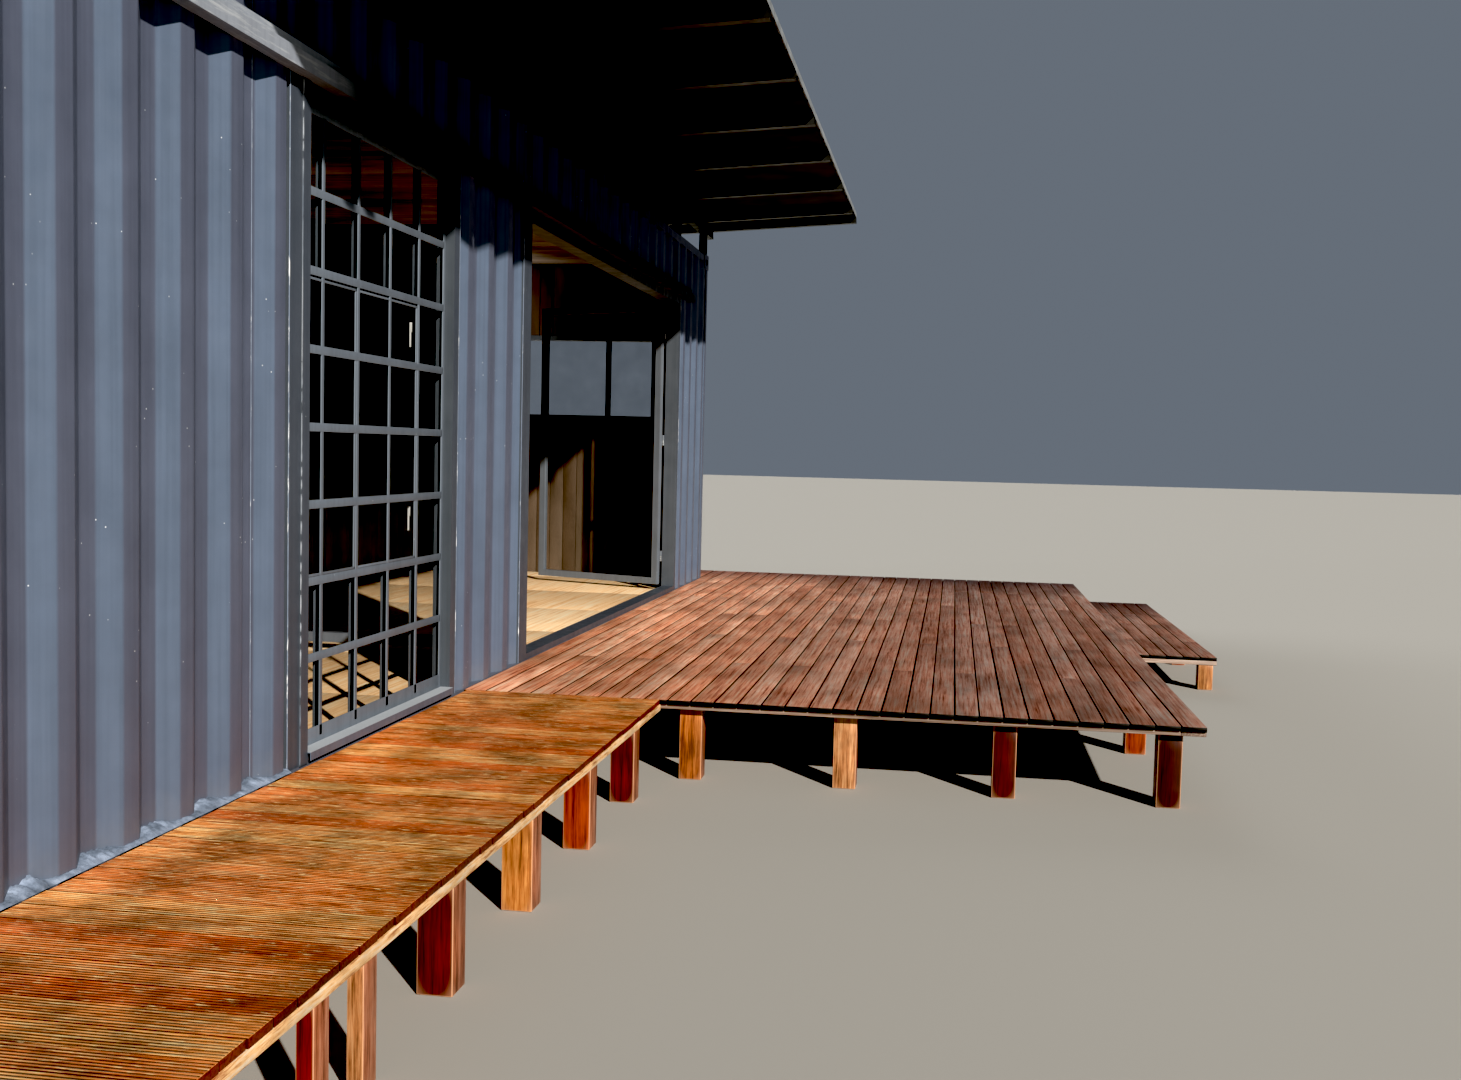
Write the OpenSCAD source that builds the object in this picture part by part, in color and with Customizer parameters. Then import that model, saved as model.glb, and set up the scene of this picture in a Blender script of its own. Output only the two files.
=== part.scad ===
// Cabin made from a 40 foot high-cube shipping container, with a raised roof and a timber deck.
// Layout: x runs along the container from its closed end, y = 0 is the outer plane of the front
// wall with the room on the +y side, and z = 0 is the ground.

/* [Container] */
// Length over the corner castings
container_l = 12192; // [10500:1:14000]
// Width over the corner castings
container_w = 2438; // [2300:1:2600]
// Height over the corner castings
container_h = 2896; // [2800:1:3100]
// Height of the castings' underside above the ground
ground_gap = 205; // [150:1:300]
// How far the castings stand out from the walls
casting_proud = 6; // [3:1:10]
// Length of a corner casting
casting_l = 178; // [160:1:200]
// Width of a corner casting
casting_w = 162; // [150:1:180]
// Height of a corner casting
casting_h = 118; // [110:1:130]
// Wall thickness of a corner casting
casting_wall = 28; // [20:1:32]
// Length of the slots in a casting's top and foot
top_slot_l = 118; // [110:1:124]
// Width of the slots in a casting's top and foot
top_slot_w = 63; // [55:1:66]
// Length of the slots in a casting's sides
side_slot_l = 79; // [70:1:84]
// Width of the slots in a casting's sides
side_slot_w = 51; // [45:1:56]
// Side of the square hollow corner posts
post_side = 70; // [60:1:90]
// Wall of the hollow posts and rails
tube_wall = 4; // [3:0.5:6]
// Height of the bottom rails and end sills
rail_h = 143; // [120:1:150]
// Width of the bottom rails' flanges
rail_flange = 48; // [40:1:60]
// Height of the bottom rails' underside above the castings' underside
rail_lift = 12; // [5:1:20]
// Side of the square top rails
top_rail = 60; // [50:1:70]
// How far the top rails lie below the castings' tops
rail_inset = 6; // [3:1:12]
// Height of the header over the cargo doors
header_h = 112; // [90:1:116]
// Thickness of the floor boards
floor_t = 28; // [21:1:40]
// Height of a cross member
joist_h = 110; // [90:1:112]
// Width of a cross member
joist_w = 45; // [35:1:60]
// Spacing of the cross members
joist_pitch = 400; // [300:10:600]

/* [Walls] */
// Thickness of the wall sheets
sheet_t = 2; // [1.6:0.2:3]
// Depth of the side wall corrugation
wave_d = 36; // [30:1:40]
// Outer flat of the corrugation
wave_outer = 72; // [60:1:90]
// Slope of the corrugation, along the wall
wave_slope = 68; // [50:1:80]
// Inner flat of the corrugation
wave_inner = 70; // [60:1:90]
// Where an outer flat starts on the near wall panel
near_phase = 194; // [0:1:277]
// Where an outer flat starts on the other panels
far_phase = 46; // [0:1:277]
// Depth of the end wall corrugation
end_wave_d = 46; // [40:1:50]
// Outer flat of the end wall corrugation
end_outer = 110; // [90:1:130]
// Slope of the end wall corrugation, along the wall
end_slope = 18; // [12:1:30]
// Inner flat of the end wall corrugation
end_inner = 104; // [90:1:120]
// Depth of the container roof's corrugation
top_wave_d = 20; // [12:1:22]
// Flats of the container roof's corrugation
top_flat = 91; // [70:1:110]
// Slopes of the container roof's corrugation
top_slope = 13.5; // [10:0.5:25]
// Where an upper flat starts on the container's roof
top_phase = 142; // [0:1:208]
// Thickness of the timber lining boards
lining_t = 20; // [12:1:25]
// Height of the ceiling's underside above the floor
ceiling_h = 2650; // [2580:1:2660]

/* [Window] */
// Clear width between the window jambs
window_w = 1485; // [1200:1:1800]
// Height of the wall openings above the floor
opening_h = 2270; // [2150:1:2400]
// Face width of the near window jamb
jamb_face = 40; // [30:1:60]
// Face width of the far window jamb
far_jamb = 65; // [40:1:90]
// Width of the plate that closes the wall beside the near jamb
side_plate = 83; // [60:1:110]
// Thickness of that plate
plate_t = 5; // [3:1:8]
// Face width of the cover over the vents' hinges
cover_w = 55; // [40:1:80]
// How far that cover stands proud of the wall plane
cover_proud = 6; // [2:1:12]
// Depth of the window jambs
jamb_depth = 80; // [60:1:100]
// Height of the window frame's sill member
sill_h = 35; // [25:1:50]
// Height of the window frame's head member
head_h = 55; // [40:1:80]
// How far the bars sit back from the wall plane
grille_set = 40; // [20:1:45]
// Number of glass columns
grille_cols = 5; // [3:1:7]
// Number of glass rows
grille_rows = 8; // [5:1:10]
// Face width of the upright bars
bar_v = 20; // [15:1:30]
// Face height of the cross bars
bar_h = 30; // [20:1:40]
// Thickness of the bars' flanges
flange_t = 5; // [3:1:8]
// Thickness of the bars' webs
web_t = 4; // [3:1:6]
// Depth of the bars' webs
web_d = 26; // [15:1:30]
// Height of the grille's bottom bar
bottom_bar = 57; // [40:1:70]
// Width of the grille's edge bars
edge_bar = 25; // [20:1:35]
// Gap between a vent and its fixed bars
vent_gap = 3; // [2:1:5]
// Face width of a vent's own frame
vent_bar = 18; // [12:1:25]
// Thickness of the window glass
glass_t = 4; // [3:1:6]
// Thickness of the sill's flashing
flashing_t = 3; // [1:0.5:4]
// How far the flashing stands out from the wall plane
flashing_out = 18; // [10:1:30]
// Height of the flashing's lip
flashing_lip = 28; // [15:1:40]
// Width of a latch's plate
latch_w = 16; // [12:1:20]
// Height of a latch's plate
latch_h = 40; // [30:1:60]
// Length of a latch's lever
lever_l = 72; // [50:1:90]
// Depth of a latch's plate
latch_d = 8; // [5:1:12]

/* [Doorway] */
// Length of wall between the door frame and the container's far end
far_wall = 1150; // [900:1:1600]
// Length of wall between the window and the doorway
pier_w = 923; // [700:1:1300]
// Clear width between the door jambs
door_w = 3883; // [3400:1:4000]
// Face width of the near door jamb
near_face = 134; // [100:1:160]
// Face width of the far door jamb
door_face = 50; // [40:1:70]
// Depth of the door jambs
door_depth = 100; // [80:1:120]
// Height of the door head
door_head = 60; // [50:1:80]
// Height of the door sill channel
door_sill_h = 30; // [20:1:40]
// Width of the hinged leaf
leaf_w = 1150; // [900:1:1250]
// Thickness of the leaves
leaf_t = 40; // [30:1:45]
// Face width of the leaf's frame
leaf_face = 50; // [40:1:70]
// Gap round the leaves
leaf_gap = 6; // [5:1:10]
// Gap under the leaves
leaf_foot = 12; // [8:1:20]
// How far the leaf stands open, in degrees
leaf_open = 111; // [90:1:150]
// Radius of the hinge knuckles
knuckle_r = 9; // [7:0.5:12]
// Radius of the hinge pins
pin_r = 5; // [4:0.5:6]
// Running clearance round a pin
pin_gap = 0.06; // [0.03:0.01:0.1]
// Depth of a pin's end below the top of the hinge
pin_cap = 5; // [4:0.5:8]
// Height of one hinge knuckle
knuckle_h = 40; // [30:1:60]
// Running clearance between two knuckles
knuckle_gap = 0.3; // [0.2:0.1:1]
// Length of a hinge plate from the hinge line
hinge_plate = 35; // [25:1:45]
// Thickness of a hinge plate
hinge_t = 3; // [2:0.5:5]
// Height of the lowest hinge above the leaf's foot
hinge_low = 180; // [120:5:300]
// Depth of the highest hinge below the leaf's top
hinge_high = 260; // [200:5:400]
// Thickness of the leaves' glazing units
unit_t = 6; // [4:1:24]

/* [Lintel] */
// How far the lintel runs past the window frame
lintel_near = 1450; // [1000:1:1800]
// How far the lintel runs past the door frame
lintel_far = 340; // [200:1:500]
// Depth of the lintel's lower tube
lintel_d = 50; // [40:1:70]
// Height of the lintel's lower tube
lintel_h = 55; // [40:1:80]
// Depth of the lintel's upper tube
lintel_top_d = 20; // [15:1:35]
// Height of the lintel's upper tube
lintel_top_h = 40; // [30:1:50]

/* [End window] */
// Distance from the front wall plane to the end window
end_window_y = 410; // [300:1:600]
// Width of the end window
end_window_w = 1606; // [1200:1:1700]
// Height of the end window's foot above the floor
end_window_z = 1330; // [900:1:1500]
// Height of the end window
end_window_h = 720; // [500:1:900]
// Width of the end window's two side lights
side_light = 430; // [300:1:500]
// Face width of the end window's frame
end_face = 40; // [30:1:60]
// How far the end window's frame stands proud of the wall and of the lining
end_proud = 4; // [2:1:10]
// Depth of the end window's mullions
mullion_d = 40; // [30:1:60]
// Distance of the mullions from the frame's outer face
mullion_in = 20; // [10:1:30]

/* [Raised roof] */
// Length of the roof along the container
roof_l = 9080; // [8400:10:9600]
// How far the roof runs past the container's far end
roof_past = 208; // [60:1:600]
// How far the eave reaches in front of the wall
eave_front = 1240; // [900:10:1500]
// How far the roof reaches behind the container
eave_back = 300; // [100:10:600]
// Height of the roof sheet over the wall plane, above the castings' tops
roof_rise = 296; // [270:1:400]
// Slope of the roof, in degrees
roof_slope = 3.4; // [2:0.1:4]
// Side of the square roof beams and posts
roof_tube = 60; // [50:1:80]
// Wall of the roof beams and posts
roof_wall = 3; // [2:0.5:5]
// Spacing of the cross beams
beam_pitch = 1045; // [800:5:1300]
// Distance from the roof's far edge to the first cross beam
beam_start = 548; // [400:1:700]
// Distance from the roof's near edge to the first posts
post_start = 180; // [100:5:400]
// Number of posts on each top rail
rail_posts = 5; // [4:1:7]
// Distance between the last post on a rail and the one on the far casting
last_bay = 1152; // [900:1:1400]
// Distance from the casting's end to the post on it
post_in = 44; // [20:1:80]
// Thickness of the roof sheets
roof_t = 0.8; // [0.5:0.1:1.2]
// Distance from the roof's near edge to the first full pan
pan_start = 60; // [0:1:250]
// Height of the ribs
rib_h = 28; // [20:1:40]
// Spacing of the ribs
rib_pitch = 252; // [180:1:300]
// Width of a rib's foot
rib_foot = 66; // [50:1:90]
// Width of a rib's crest
rib_top = 28; // [20:1:40]
// Height of the edge trim
trim_h = 42; // [35:1:60]
// How far the edge trim stands above the ribs
trim_over = 3; // [1:1:8]
// Thickness of the edge trim
trim_t = 1.2; // [0.8:0.2:2]

/* [Timber] */
// Thickness of the deck boards
board_t = 22; // [18:1:30]
// Thickness of the bearers laid flat under the walkway's and the step's boards
bearer_t = 28; // [22:1:45]
// Thickness of the bearers laid flat under the deck's boards
deck_bearer_t = 20; // [16:1:45]
// Width of the walkway
walk_w = 900; // [700:10:1100]
// Length of the deck along the container
deck_l = 6752; // [6200:1:7200]
// How far the deck reaches from the wall
deck_w = 3200; // [2600:10:3400]
// How far the deck runs past the container
deck_past = 720; // [400:10:1000]
// How far the deck's boards reach over its near bearer
deck_over = 12; // [0:1:40]
// How far the deck wraps behind the front wall plane
deck_wrap = 150; // [100:10:600]
// Gap between the deck's boards and the wall
board_gap = 5; // [3:1:10]
// Gap between the walkway's boards and the wall
walk_gap = 18; // [10:1:25]
// Side of the square timber posts
timber_post = 100; // [75:1:120]
// Number of posts in each row under the walkway
walk_posts = 9; // [7:1:11]
// Distance from the container's near end to the first posts
walk_first = 65; // [0:1:300]
// Distance from the deck to the near side of the last posts
walk_last = 415; // [120:1:600]
// How far the walkway's outer posts stand in from its edge
walk_post_set = 20; // [0:1:60]
// Gap between the wall plane and the walkway's inner posts and bearer
post_wall_gap = 8; // [8:1:20]
// Width of the pair of planks that stand in place of one post
plank_w = 75; // [60:1:90]
// Thickness of those planks
plank_t = 40; // [30:1:50]
// Clear space between those planks
plank_gap = 175; // [120:1:250]
// Rows of posts across the deck
deck_rows_y = 5; // [4:1:6]
// Rows of bearers along the deck
deck_rows = 7; // [5:1:9]
// Distance from the wall plane to the middle of the first deck posts
deck_post_in = 346; // [120:1:400]
// How far the deck's outer posts stand in from its edge
deck_post_set = 84; // [40:1:140]
// Gap between the container's far end and the deck's return
wrap_gap = 30; // [20:1:60]
// Width of the walkway bearers
walk_bearer = 100; // [80:1:140]
// Width of the deck bearers
deck_bearer = 150; // [120:1:180]
// Width of the step platform
step_w = 630; // [500:10:800]
// Length of the step platform
step_l = 3400; // [2400:10:3800]
// How far the step platform lies below the deck
step_drop = 150; // [100:1:180]
// Side of the step's posts
step_post = 90; // [75:1:100]
// How far the step's posts stand in from its edge
step_post_set = 20; // [0:1:60]

/* [Footings and cargo doors] */
// Side of the square footing blocks
block_side = 350; // [250:10:450]
// Thickness of the cargo doors' frames
cargo_t = 50; // [40:1:60]
// Face width of the cargo doors' frames
cargo_face = 100; // [80:1:120]
// How far the cargo doors stand in from the corner posts' faces
door_inset = 42; // [36:1:50]
// Gap above and below the cargo doors
cargo_gap = 8; // [5:1:15]
// Gap between a cargo door and its corner post
cargo_side_gap = 4; // [2:1:8]
// Gap between a cargo door's edge and the container's middle
cargo_mid_gap = 5; // [2:1:8]
// Depth of the folds in the cargo doors' panels
fold_d = 36; // [20:1:45]
// Outer flat of those folds
fold_flat = 200; // [150:1:250]
// Slope of those folds
fold_slope = 50; // [30:1:70]
// Inner flat of those folds
fold_inner = 100; // [70:1:150]
// Where an outer flat starts above the floor
fold_first = 48; // [0:1:200]
// Height of a cargo door hinge
cargo_hinge_h = 80; // [60:1:100]
// Thickness of a cargo door hinge
cargo_hinge_t = 20; // [12:1:30]
// Height of the first hinge above the cargo door's foot
cargo_hinge_first = 250; // [150:10:350]
// Spacing of the cargo door hinges
cargo_hinge_pitch = 640; // [500:10:680]
// Radius of the cargo doors' lock rods
rod_r = 17; // [12:1:20]
// Gap between the rods and the cargo doors
rod_gap = 5; // [2:1:10]
// How far the rods reach past the floor and the header
rod_past = 80; // [60:1:100]
// Width of a rod's guides and keepers
guide_w = 70; // [50:1:90]
// Height of a rod's guides and keepers
guide_h = 60; // [40:1:70]
// Height of the rods' handles above the floor
handle_z = 820; // [700:10:1000]
// Height of a handle's bar
handle_h = 30; // [20:1:40]
// Length of a handle's bar
handle_l = 252; // [200:1:280]
// How far a handle's bar reaches past its rod
handle_tail = 12; // [5:1:20]
// How far a handle's bar stands in front of its rod
handle_proud = 6; // [2:1:10]
// Distance of the end keepers from a rod's ends
keeper_in = 10; // [5:1:20]

/* [Hidden] */
$fn = 32;
eps = 1;

wall_back = container_w - 2 * casting_proud;
top_z = ground_gap + container_h;
floor_z = ground_gap + rail_lift + rail_h;
rail_z = floor_z - rail_h;
top_rail_z = top_z - rail_inset - top_rail;
end_x = container_l - casting_proud;
inner_x = casting_proud + post_side;
far_inner_x = end_x - post_side;
lining_x = far_inner_x - lining_t;
ceiling_z = floor_z + ceiling_h;
head_z = floor_z + opening_h;
door_far = container_l - far_wall;
door_x = door_far - door_face - door_w - near_face;
window_far = door_x - pier_w;
window_x = window_far - far_jamb - window_w - jamb_face;
cover_x = window_x + side_plate;
skin_d = wave_d + sheet_t;
pane_x = window_x + jamb_face;
pane_pitch_x = window_w / grille_cols;
grille_z0 = floor_z + sill_h + flashing_t;
grille_z1 = head_z - head_h;
first_bar_z = grille_z0 + bottom_bar - bar_h / 2 - 5;
bar_pitch_z = (grille_z1 - bar_h / 2 - first_bar_z) / grille_rows;
vent_rows = [1, 4, 7];
latch_rows = [2.7, 5.6];
hinge_x = door_far - door_face - leaf_gap / 2;
hinge_y = door_depth + knuckle_r;
leaf_z0 = floor_z + door_sill_h + leaf_foot;
leaf_z1 = head_z - door_head - leaf_gap;
hinge_zs = [leaf_z0 + hinge_low, (leaf_z0 + leaf_z1) / 2, leaf_z1 - hinge_high];
fold_w = (door_w - leaf_w - 4 * leaf_gap) / 2;
fold_x = door_x + near_face + leaf_gap;
roof_z = top_z + roof_rise;
roof_far = container_l + roof_past;
roof_x = roof_far - roof_l;
deck_far = container_l + deck_past;
deck_x = deck_far - deck_l;
step_x = deck_far - step_l;
board_z = floor_z - board_t;
bearer_z = board_z - bearer_t;
deck_bearer_z = board_z - deck_bearer_t;
bearers_x = deck_x + deck_over;
step_top = floor_z - step_drop;
step_board_z = step_top - board_t;
step_bearer_z = step_board_z - bearer_t;
deck_row_pitch = (deck_far - bearers_x - deck_bearer) / (deck_rows - 1);
deck_post_out = deck_w - deck_post_set - timber_post / 2;
wrap_x = container_l + wrap_gap;
sill_x = casting_proud + door_inset;
near_inner_x = sill_x + top_rail;
rod_x = sill_x - rod_r - rod_gap;
fold_pitch = fold_flat + 2 * fold_slope + fold_inner;
fold_start = floor_z + fold_first;
header_z = top_rail_z + top_rail - header_h;
door_leaf_w = wall_back / 2 - post_side;
back_y = (wall_back + eave_back + trim_t) * cos(roof_slope)
    + (rib_h + trim_over) * sin(roof_slope);
mid_x = deck_far / 2;
mid_y = (back_y - deck_w - step_w) / 2;

// A block between two corners
module block(x, y, z) {
    translate([x[0], y[0], z[0]]) cube([x[1] - x[0], y[1] - y[0], z[1] - z[0]]);
}

// A rectangular tube between two corners, open at its ends along axis 0, 1 or 2
module tube(x, y, z, wall, along) {
    grow = [for (a = [0:2]) a == along ? -eps : wall];
    difference() {
        block(x, y, z);
        block([x[0] + grow[0], x[1] - grow[0]], [y[0] + grow[1], y[1] - grow[1]],
              [z[0] + grow[2], z[1] - grow[2]]);
    }
}

// A plate with a rounded slot's outline, for the castings
module oblong(length, width, depth) {
    run = (length - width) / 2;
    translate([-run, -width / 2, 0]) cube([2 * run, width, depth]);
    for (side = [-1, 1]) translate([side * run, 0, 0]) cylinder(h = depth, d = width);
}

// Depth of a corrugation at a distance u from the start of its outer flat
function wave(u, outer, slope, inner, depth) =
    u < outer ? 0
    : u < outer + slope ? depth * (u - outer) / slope
    : u < outer + slope + inner ? depth
    : depth * (1 - (u - outer - slope - inner) / slope);

// The bend lines of a corrugated sheet from a to b
function bends(a, b, phase, outer, slope, inner) =
    let (pitch = outer + 2 * slope + inner)
    [a, for (k = [floor((a - phase) / pitch):ceil((b - phase) / pitch)])
        for (bend = [0, outer, outer + slope, outer + slope + inner])
            let (p = phase + k * pitch + bend) if (p > a + 0.5 && p < b - 0.5) p, b];

// A corrugated sheet drawn in plan: its length along x, its depth along y, its height along z
module corrugated(a, b, phase, outer, slope, inner, depth, thick, height) {
    pitch = outer + 2 * slope + inner;
    xs = bends(a, b, phase, outer, slope, inner);
    ys = [for (p = xs) wave((p - phase) - pitch * floor((p - phase) / pitch + 1e-6),
                            outer, slope, inner, depth)];
    n = len(xs);
    linear_extrude(height = height)
        polygon(concat([for (i = [0:n - 1]) [xs[i], ys[i]]],
                       [for (i = [n - 1:-1:0]) [xs[i], ys[i] + thick]]));
}

// One length of side wall
module side_sheet(a, b, z, phase) {
    translate([0, 0, z[0]])
        corrugated(a, b, phase, wave_outer, wave_slope, wave_inner, wave_d, sheet_t, z[1] - z[0]);
}

// Places a copy at each of the four corners, turned so that +x and +y point into the container
module each_corner() {
    for (ex = [0, 1]) for (ey = [0, 1])
        translate([ex * container_l, ey * container_w - casting_proud, 0])
            mirror([ex, 0, 0]) mirror([0, ey, 0]) children();
}

// The space that the eight castings take
module casting_space() {
    each_corner() for (z = [ground_gap, top_z - casting_h])
        translate([0, 0, z]) cube([casting_l, casting_w, casting_h]);
}

// Places the raised roof: local z = 0 is the underside of its sheets
module on_slope() {
    translate([0, 0, roof_z]) rotate([-roof_slope, 0, 0]) children();
}

// A door leaf's frame in its closed place, from x0 towards +x
module leaf_frame(x0, width) {
    y = [door_depth - leaf_t, door_depth];
    difference() {
        block([x0, x0 + width], y, [leaf_z0, leaf_z1]);
        block([x0 + leaf_face, x0 + width - leaf_face], [y[0] - eps, y[1] + eps],
              [leaf_z0 + leaf_face, leaf_z1 - leaf_face]);
    }
}

// The glass of a leaf in its closed place
module leaf_pane(x0, width) {
    mid = door_depth - leaf_t / 2;
    block([x0 + leaf_face, x0 + width - leaf_face], [mid - unit_t / 2, mid + unit_t / 2],
          [leaf_z0 + leaf_face, leaf_z1 - leaf_face]);
}

// Turns the hinged leaf from closed to where it stands
module leaf_swing() {
    translate([hinge_x, hinge_y, 0]) rotate([0, 0, -leaf_open])
        translate([-hinge_x, -hinge_y, 0]) children();
}

module footings() {
    color("darkgray") {
        each_corner() cube([block_side, block_side, ground_gap]);
        for (x = [container_l / 3, container_l * 2 / 3]) for (y = [0, wall_back - block_side])
            translate([x - block_side / 2, y, 0]) cube([block_side, block_side, rail_z]);
    }
}

module bottom_rails() {
    color("dimgray") difference() {
        for (side = [0, 1]) translate([0, side * wall_back, 0]) mirror([0, side, 0])
            difference() {
                block([inner_x, far_inner_x], [0, rail_flange], [rail_z, floor_z]);
                block([inner_x - eps, far_inner_x + eps], [tube_wall, rail_flange + eps],
                      [rail_z + tube_wall, floor_z - tube_wall]);
            }
        casting_space();
    }
}

module cross_members() {
    color("dimgray") {
        first = casting_l + joist_w;
        count = floor((container_l - 2 * first) / joist_pitch);
        step = (container_l - 2 * first - joist_w) / count;
        for (i = [0:count]) translate([first + i * step, tube_wall, floor_z - floor_t - joist_h])
            difference() {
                cube([joist_w, wall_back - 2 * tube_wall, joist_h]);
                translate([tube_wall, -eps, tube_wall])
                    cube([joist_w, wall_back, joist_h - 2 * tube_wall]);
            }
    }
}

module floor_boards() {
    color("burlywood")
        block([near_inner_x, far_inner_x], [rail_flange, wall_back - rail_flange],
              [floor_z - floor_t, floor_z]);
}

module corner_posts() {
    color("slategray") each_corner()
        tube([casting_proud, casting_proud + post_side], [casting_proud, casting_proud + post_side],
             [ground_gap + casting_h, top_z - casting_h], tube_wall, 2);
}

module corner_castings() {
    color("slategray") each_corner() for (z = [ground_gap, top_z - casting_h])
        translate([0, 0, z]) difference() {
            cube([casting_l, casting_w, casting_h]);
            translate([casting_wall, casting_wall, casting_wall])
                cube([casting_l - 2 * casting_wall, casting_w - 2 * casting_wall,
                      casting_h - 2 * casting_wall]);
            translate([casting_l / 2, casting_w / 2, -eps])
                oblong(top_slot_l, top_slot_w, casting_h + 2 * eps);
            translate([casting_l / 2, -eps, casting_h / 2]) rotate([-90, 0, 0])
                oblong(side_slot_l, side_slot_w, casting_wall + 2 * eps);
            translate([-eps, casting_w / 2, casting_h / 2]) rotate([90, 0, 90])
                oblong(side_slot_l, side_slot_w, casting_wall + 2 * eps);
        }
}

module top_rails() {
    color("slategray") for (y = [0, wall_back - top_rail])
        tube([casting_l, container_l - casting_l], [y, y + top_rail],
             [top_rail_z, top_rail_z + top_rail], tube_wall, 0);
}

module end_rails() {
    y = [post_side, wall_back - post_side];
    y_top = [casting_w - casting_proud, wall_back + casting_proud - casting_w];
    color("slategray") difference() {
        union() {
            tube([sill_x, near_inner_x], y, [rail_z, floor_z], tube_wall, 1);
            tube([end_x - top_rail, end_x], y, [rail_z, floor_z], tube_wall, 1);
            tube([sill_x, near_inner_x], y_top, [header_z, top_rail_z + top_rail], tube_wall, 1);
            tube([end_x - top_rail, end_x], y_top, [top_rail_z, top_rail_z + top_rail],
                 tube_wall, 1);
        }
        casting_space();
    }
}

module front_wall_near() {
    color("slategray") difference() {
        side_sheet(inner_x, window_x, [floor_z, top_rail_z], near_phase);
        casting_space();
    }
}

module front_wall_middle() {
    color("slategray") side_sheet(window_far, door_x, [floor_z, head_z], far_phase);
}

module front_wall_far() {
    color("slategray") difference() {
        side_sheet(door_far, far_inner_x, [floor_z, top_rail_z], far_phase);
        casting_space();
    }
}

module front_wall_head() {
    color("slategray") side_sheet(window_x, door_far, [head_z, top_rail_z], far_phase);
}

module back_wall() {
    color("slategray") difference() {
        translate([0, wall_back, 0]) mirror([0, 1, 0])
            side_sheet(inner_x, far_inner_x, [floor_z, top_rail_z], far_phase);
        casting_space();
    }
}

// The far end's sheet, with its corrugation facing out
module end_wall() {
    pitch = end_outer + 2 * end_slope + end_inner;
    color("slategray") difference() {
        translate([end_x, 0, floor_z]) rotate([0, 0, 90])
            corrugated(post_side, wall_back - post_side, (wall_back - pitch) / 2, end_outer,
                       end_slope, end_inner, end_wave_d, sheet_t, top_rail_z - floor_z);
        block([end_x - post_side, end_x + eps], [end_window_y, end_window_y + end_window_w],
              [floor_z + end_window_z, floor_z + end_window_z + end_window_h]);
        casting_space();
    }
}

// Pressed roof sheet between the top rails, its ribs running across
module container_roof() {
    color("slategray") difference() {
        translate([0, wall_back - top_rail, top_z - rail_inset - sheet_t]) rotate([90, 0, 0])
            mirror([0, 1, 0])
                corrugated(near_inner_x, end_x - top_rail, top_phase, top_flat, top_slope,
                           top_flat, top_wave_d, sheet_t, wall_back - 2 * top_rail);
        casting_space();
    }
}

// Two leaves with frames and panels pressed into horizontal folds
module cargo_doors() {
    x = [sill_x, sill_x + cargo_t];
    z = [floor_z + cargo_gap, header_z - cargo_gap];
    y = [post_side + cargo_side_gap, post_side + door_leaf_w - cargo_mid_gap];
    hinge_x0 = casting_proud + post_side - cargo_hinge_t;
    color("slategray") for (side = [0, 1])
        translate([0, side * wall_back, 0]) mirror([0, side, 0]) {
            difference() {
                block(x, y, z);
                block([x[0] - eps, x[1] + eps], [y[0] + cargo_face, y[1] - cargo_face],
                      [z[0] + cargo_face, z[1] - cargo_face]);
            }
            translate([x[0], y[1] - cargo_face, 0]) rotate([90, 0, 0])
                rotate([0, 0, 90]) mirror([0, 1, 0])
                    corrugated(z[0] + cargo_face, z[1] - cargo_face, fold_start, fold_flat,
                               fold_slope, fold_inner, fold_d, sheet_t,
                               y[1] - y[0] - 2 * cargo_face);
            for (k = [0:3]) {
                foot = z[0] + cargo_hinge_first + k * cargo_hinge_pitch;
                block([hinge_x0, hinge_x0 + cargo_hinge_t], [post_side, y[0]],
                      [foot, foot + cargo_hinge_h]);
            }
        }
}

// Four lock rods with their guides, keepers and handles
module cargo_door_rods() {
    z = [floor_z - rod_past, header_z + rod_past];
    fold_mid = (fold_flat - guide_h) / 2;
    color("gainsboro") for (side = [0, 1]) translate([0, side * wall_back, 0])
        mirror([0, side, 0]) for (place = [0.3, 0.82]) {
            y = post_side + door_leaf_w * place;
            translate([rod_x, y, z[0]]) cylinder(h = z[1] - z[0], r = rod_r);
            for (foot = [z[0] + keeper_in, fold_start + fold_pitch + fold_mid,
                         fold_start + 3 * fold_pitch + fold_mid,
                         fold_start + 5 * fold_pitch + fold_mid, z[1] - keeper_in - guide_h])
                block([rod_x, sill_x], [y - guide_w / 2, y + guide_w / 2],
                      [foot, foot + guide_h]);
            block([rod_x - rod_r - handle_proud, rod_x],
                  [y + handle_tail - handle_l, y + handle_tail],
                  [floor_z + handle_z, floor_z + handle_z + handle_h]);
        }
}

module ceiling_lining() {
    color("wheat") difference() {
        block([near_inner_x, far_inner_x], [skin_d + 1, wall_back - skin_d - 1],
              [ceiling_z, top_rail_z]);
        casting_space();
    }
}

module end_lining() {
    color("peru") difference() {
        block([lining_x, lining_x + lining_t], [skin_d + 1, wall_back - skin_d - 1],
              [floor_z, ceiling_z]);
        block([lining_x - eps, lining_x + lining_t + eps],
              [end_window_y, end_window_y + end_window_w],
              [floor_z + end_window_z, floor_z + end_window_z + end_window_h]);
        casting_space();
    }
}

module window_frame() {
    z = [floor_z, head_z];
    color("slategray") {
        difference() {
            block([window_x, window_far], [0, jamb_depth], z);
            block([window_x + jamb_face, window_far - far_jamb], [-eps, jamb_depth + eps],
                  [floor_z + sill_h, head_z - head_h]);
        }
        block([window_x, cover_x], [0, plate_t], z);
        tube([cover_x, cover_x + cover_w], [-cover_proud, grille_set], z, web_t, 2);
    }
}

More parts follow.
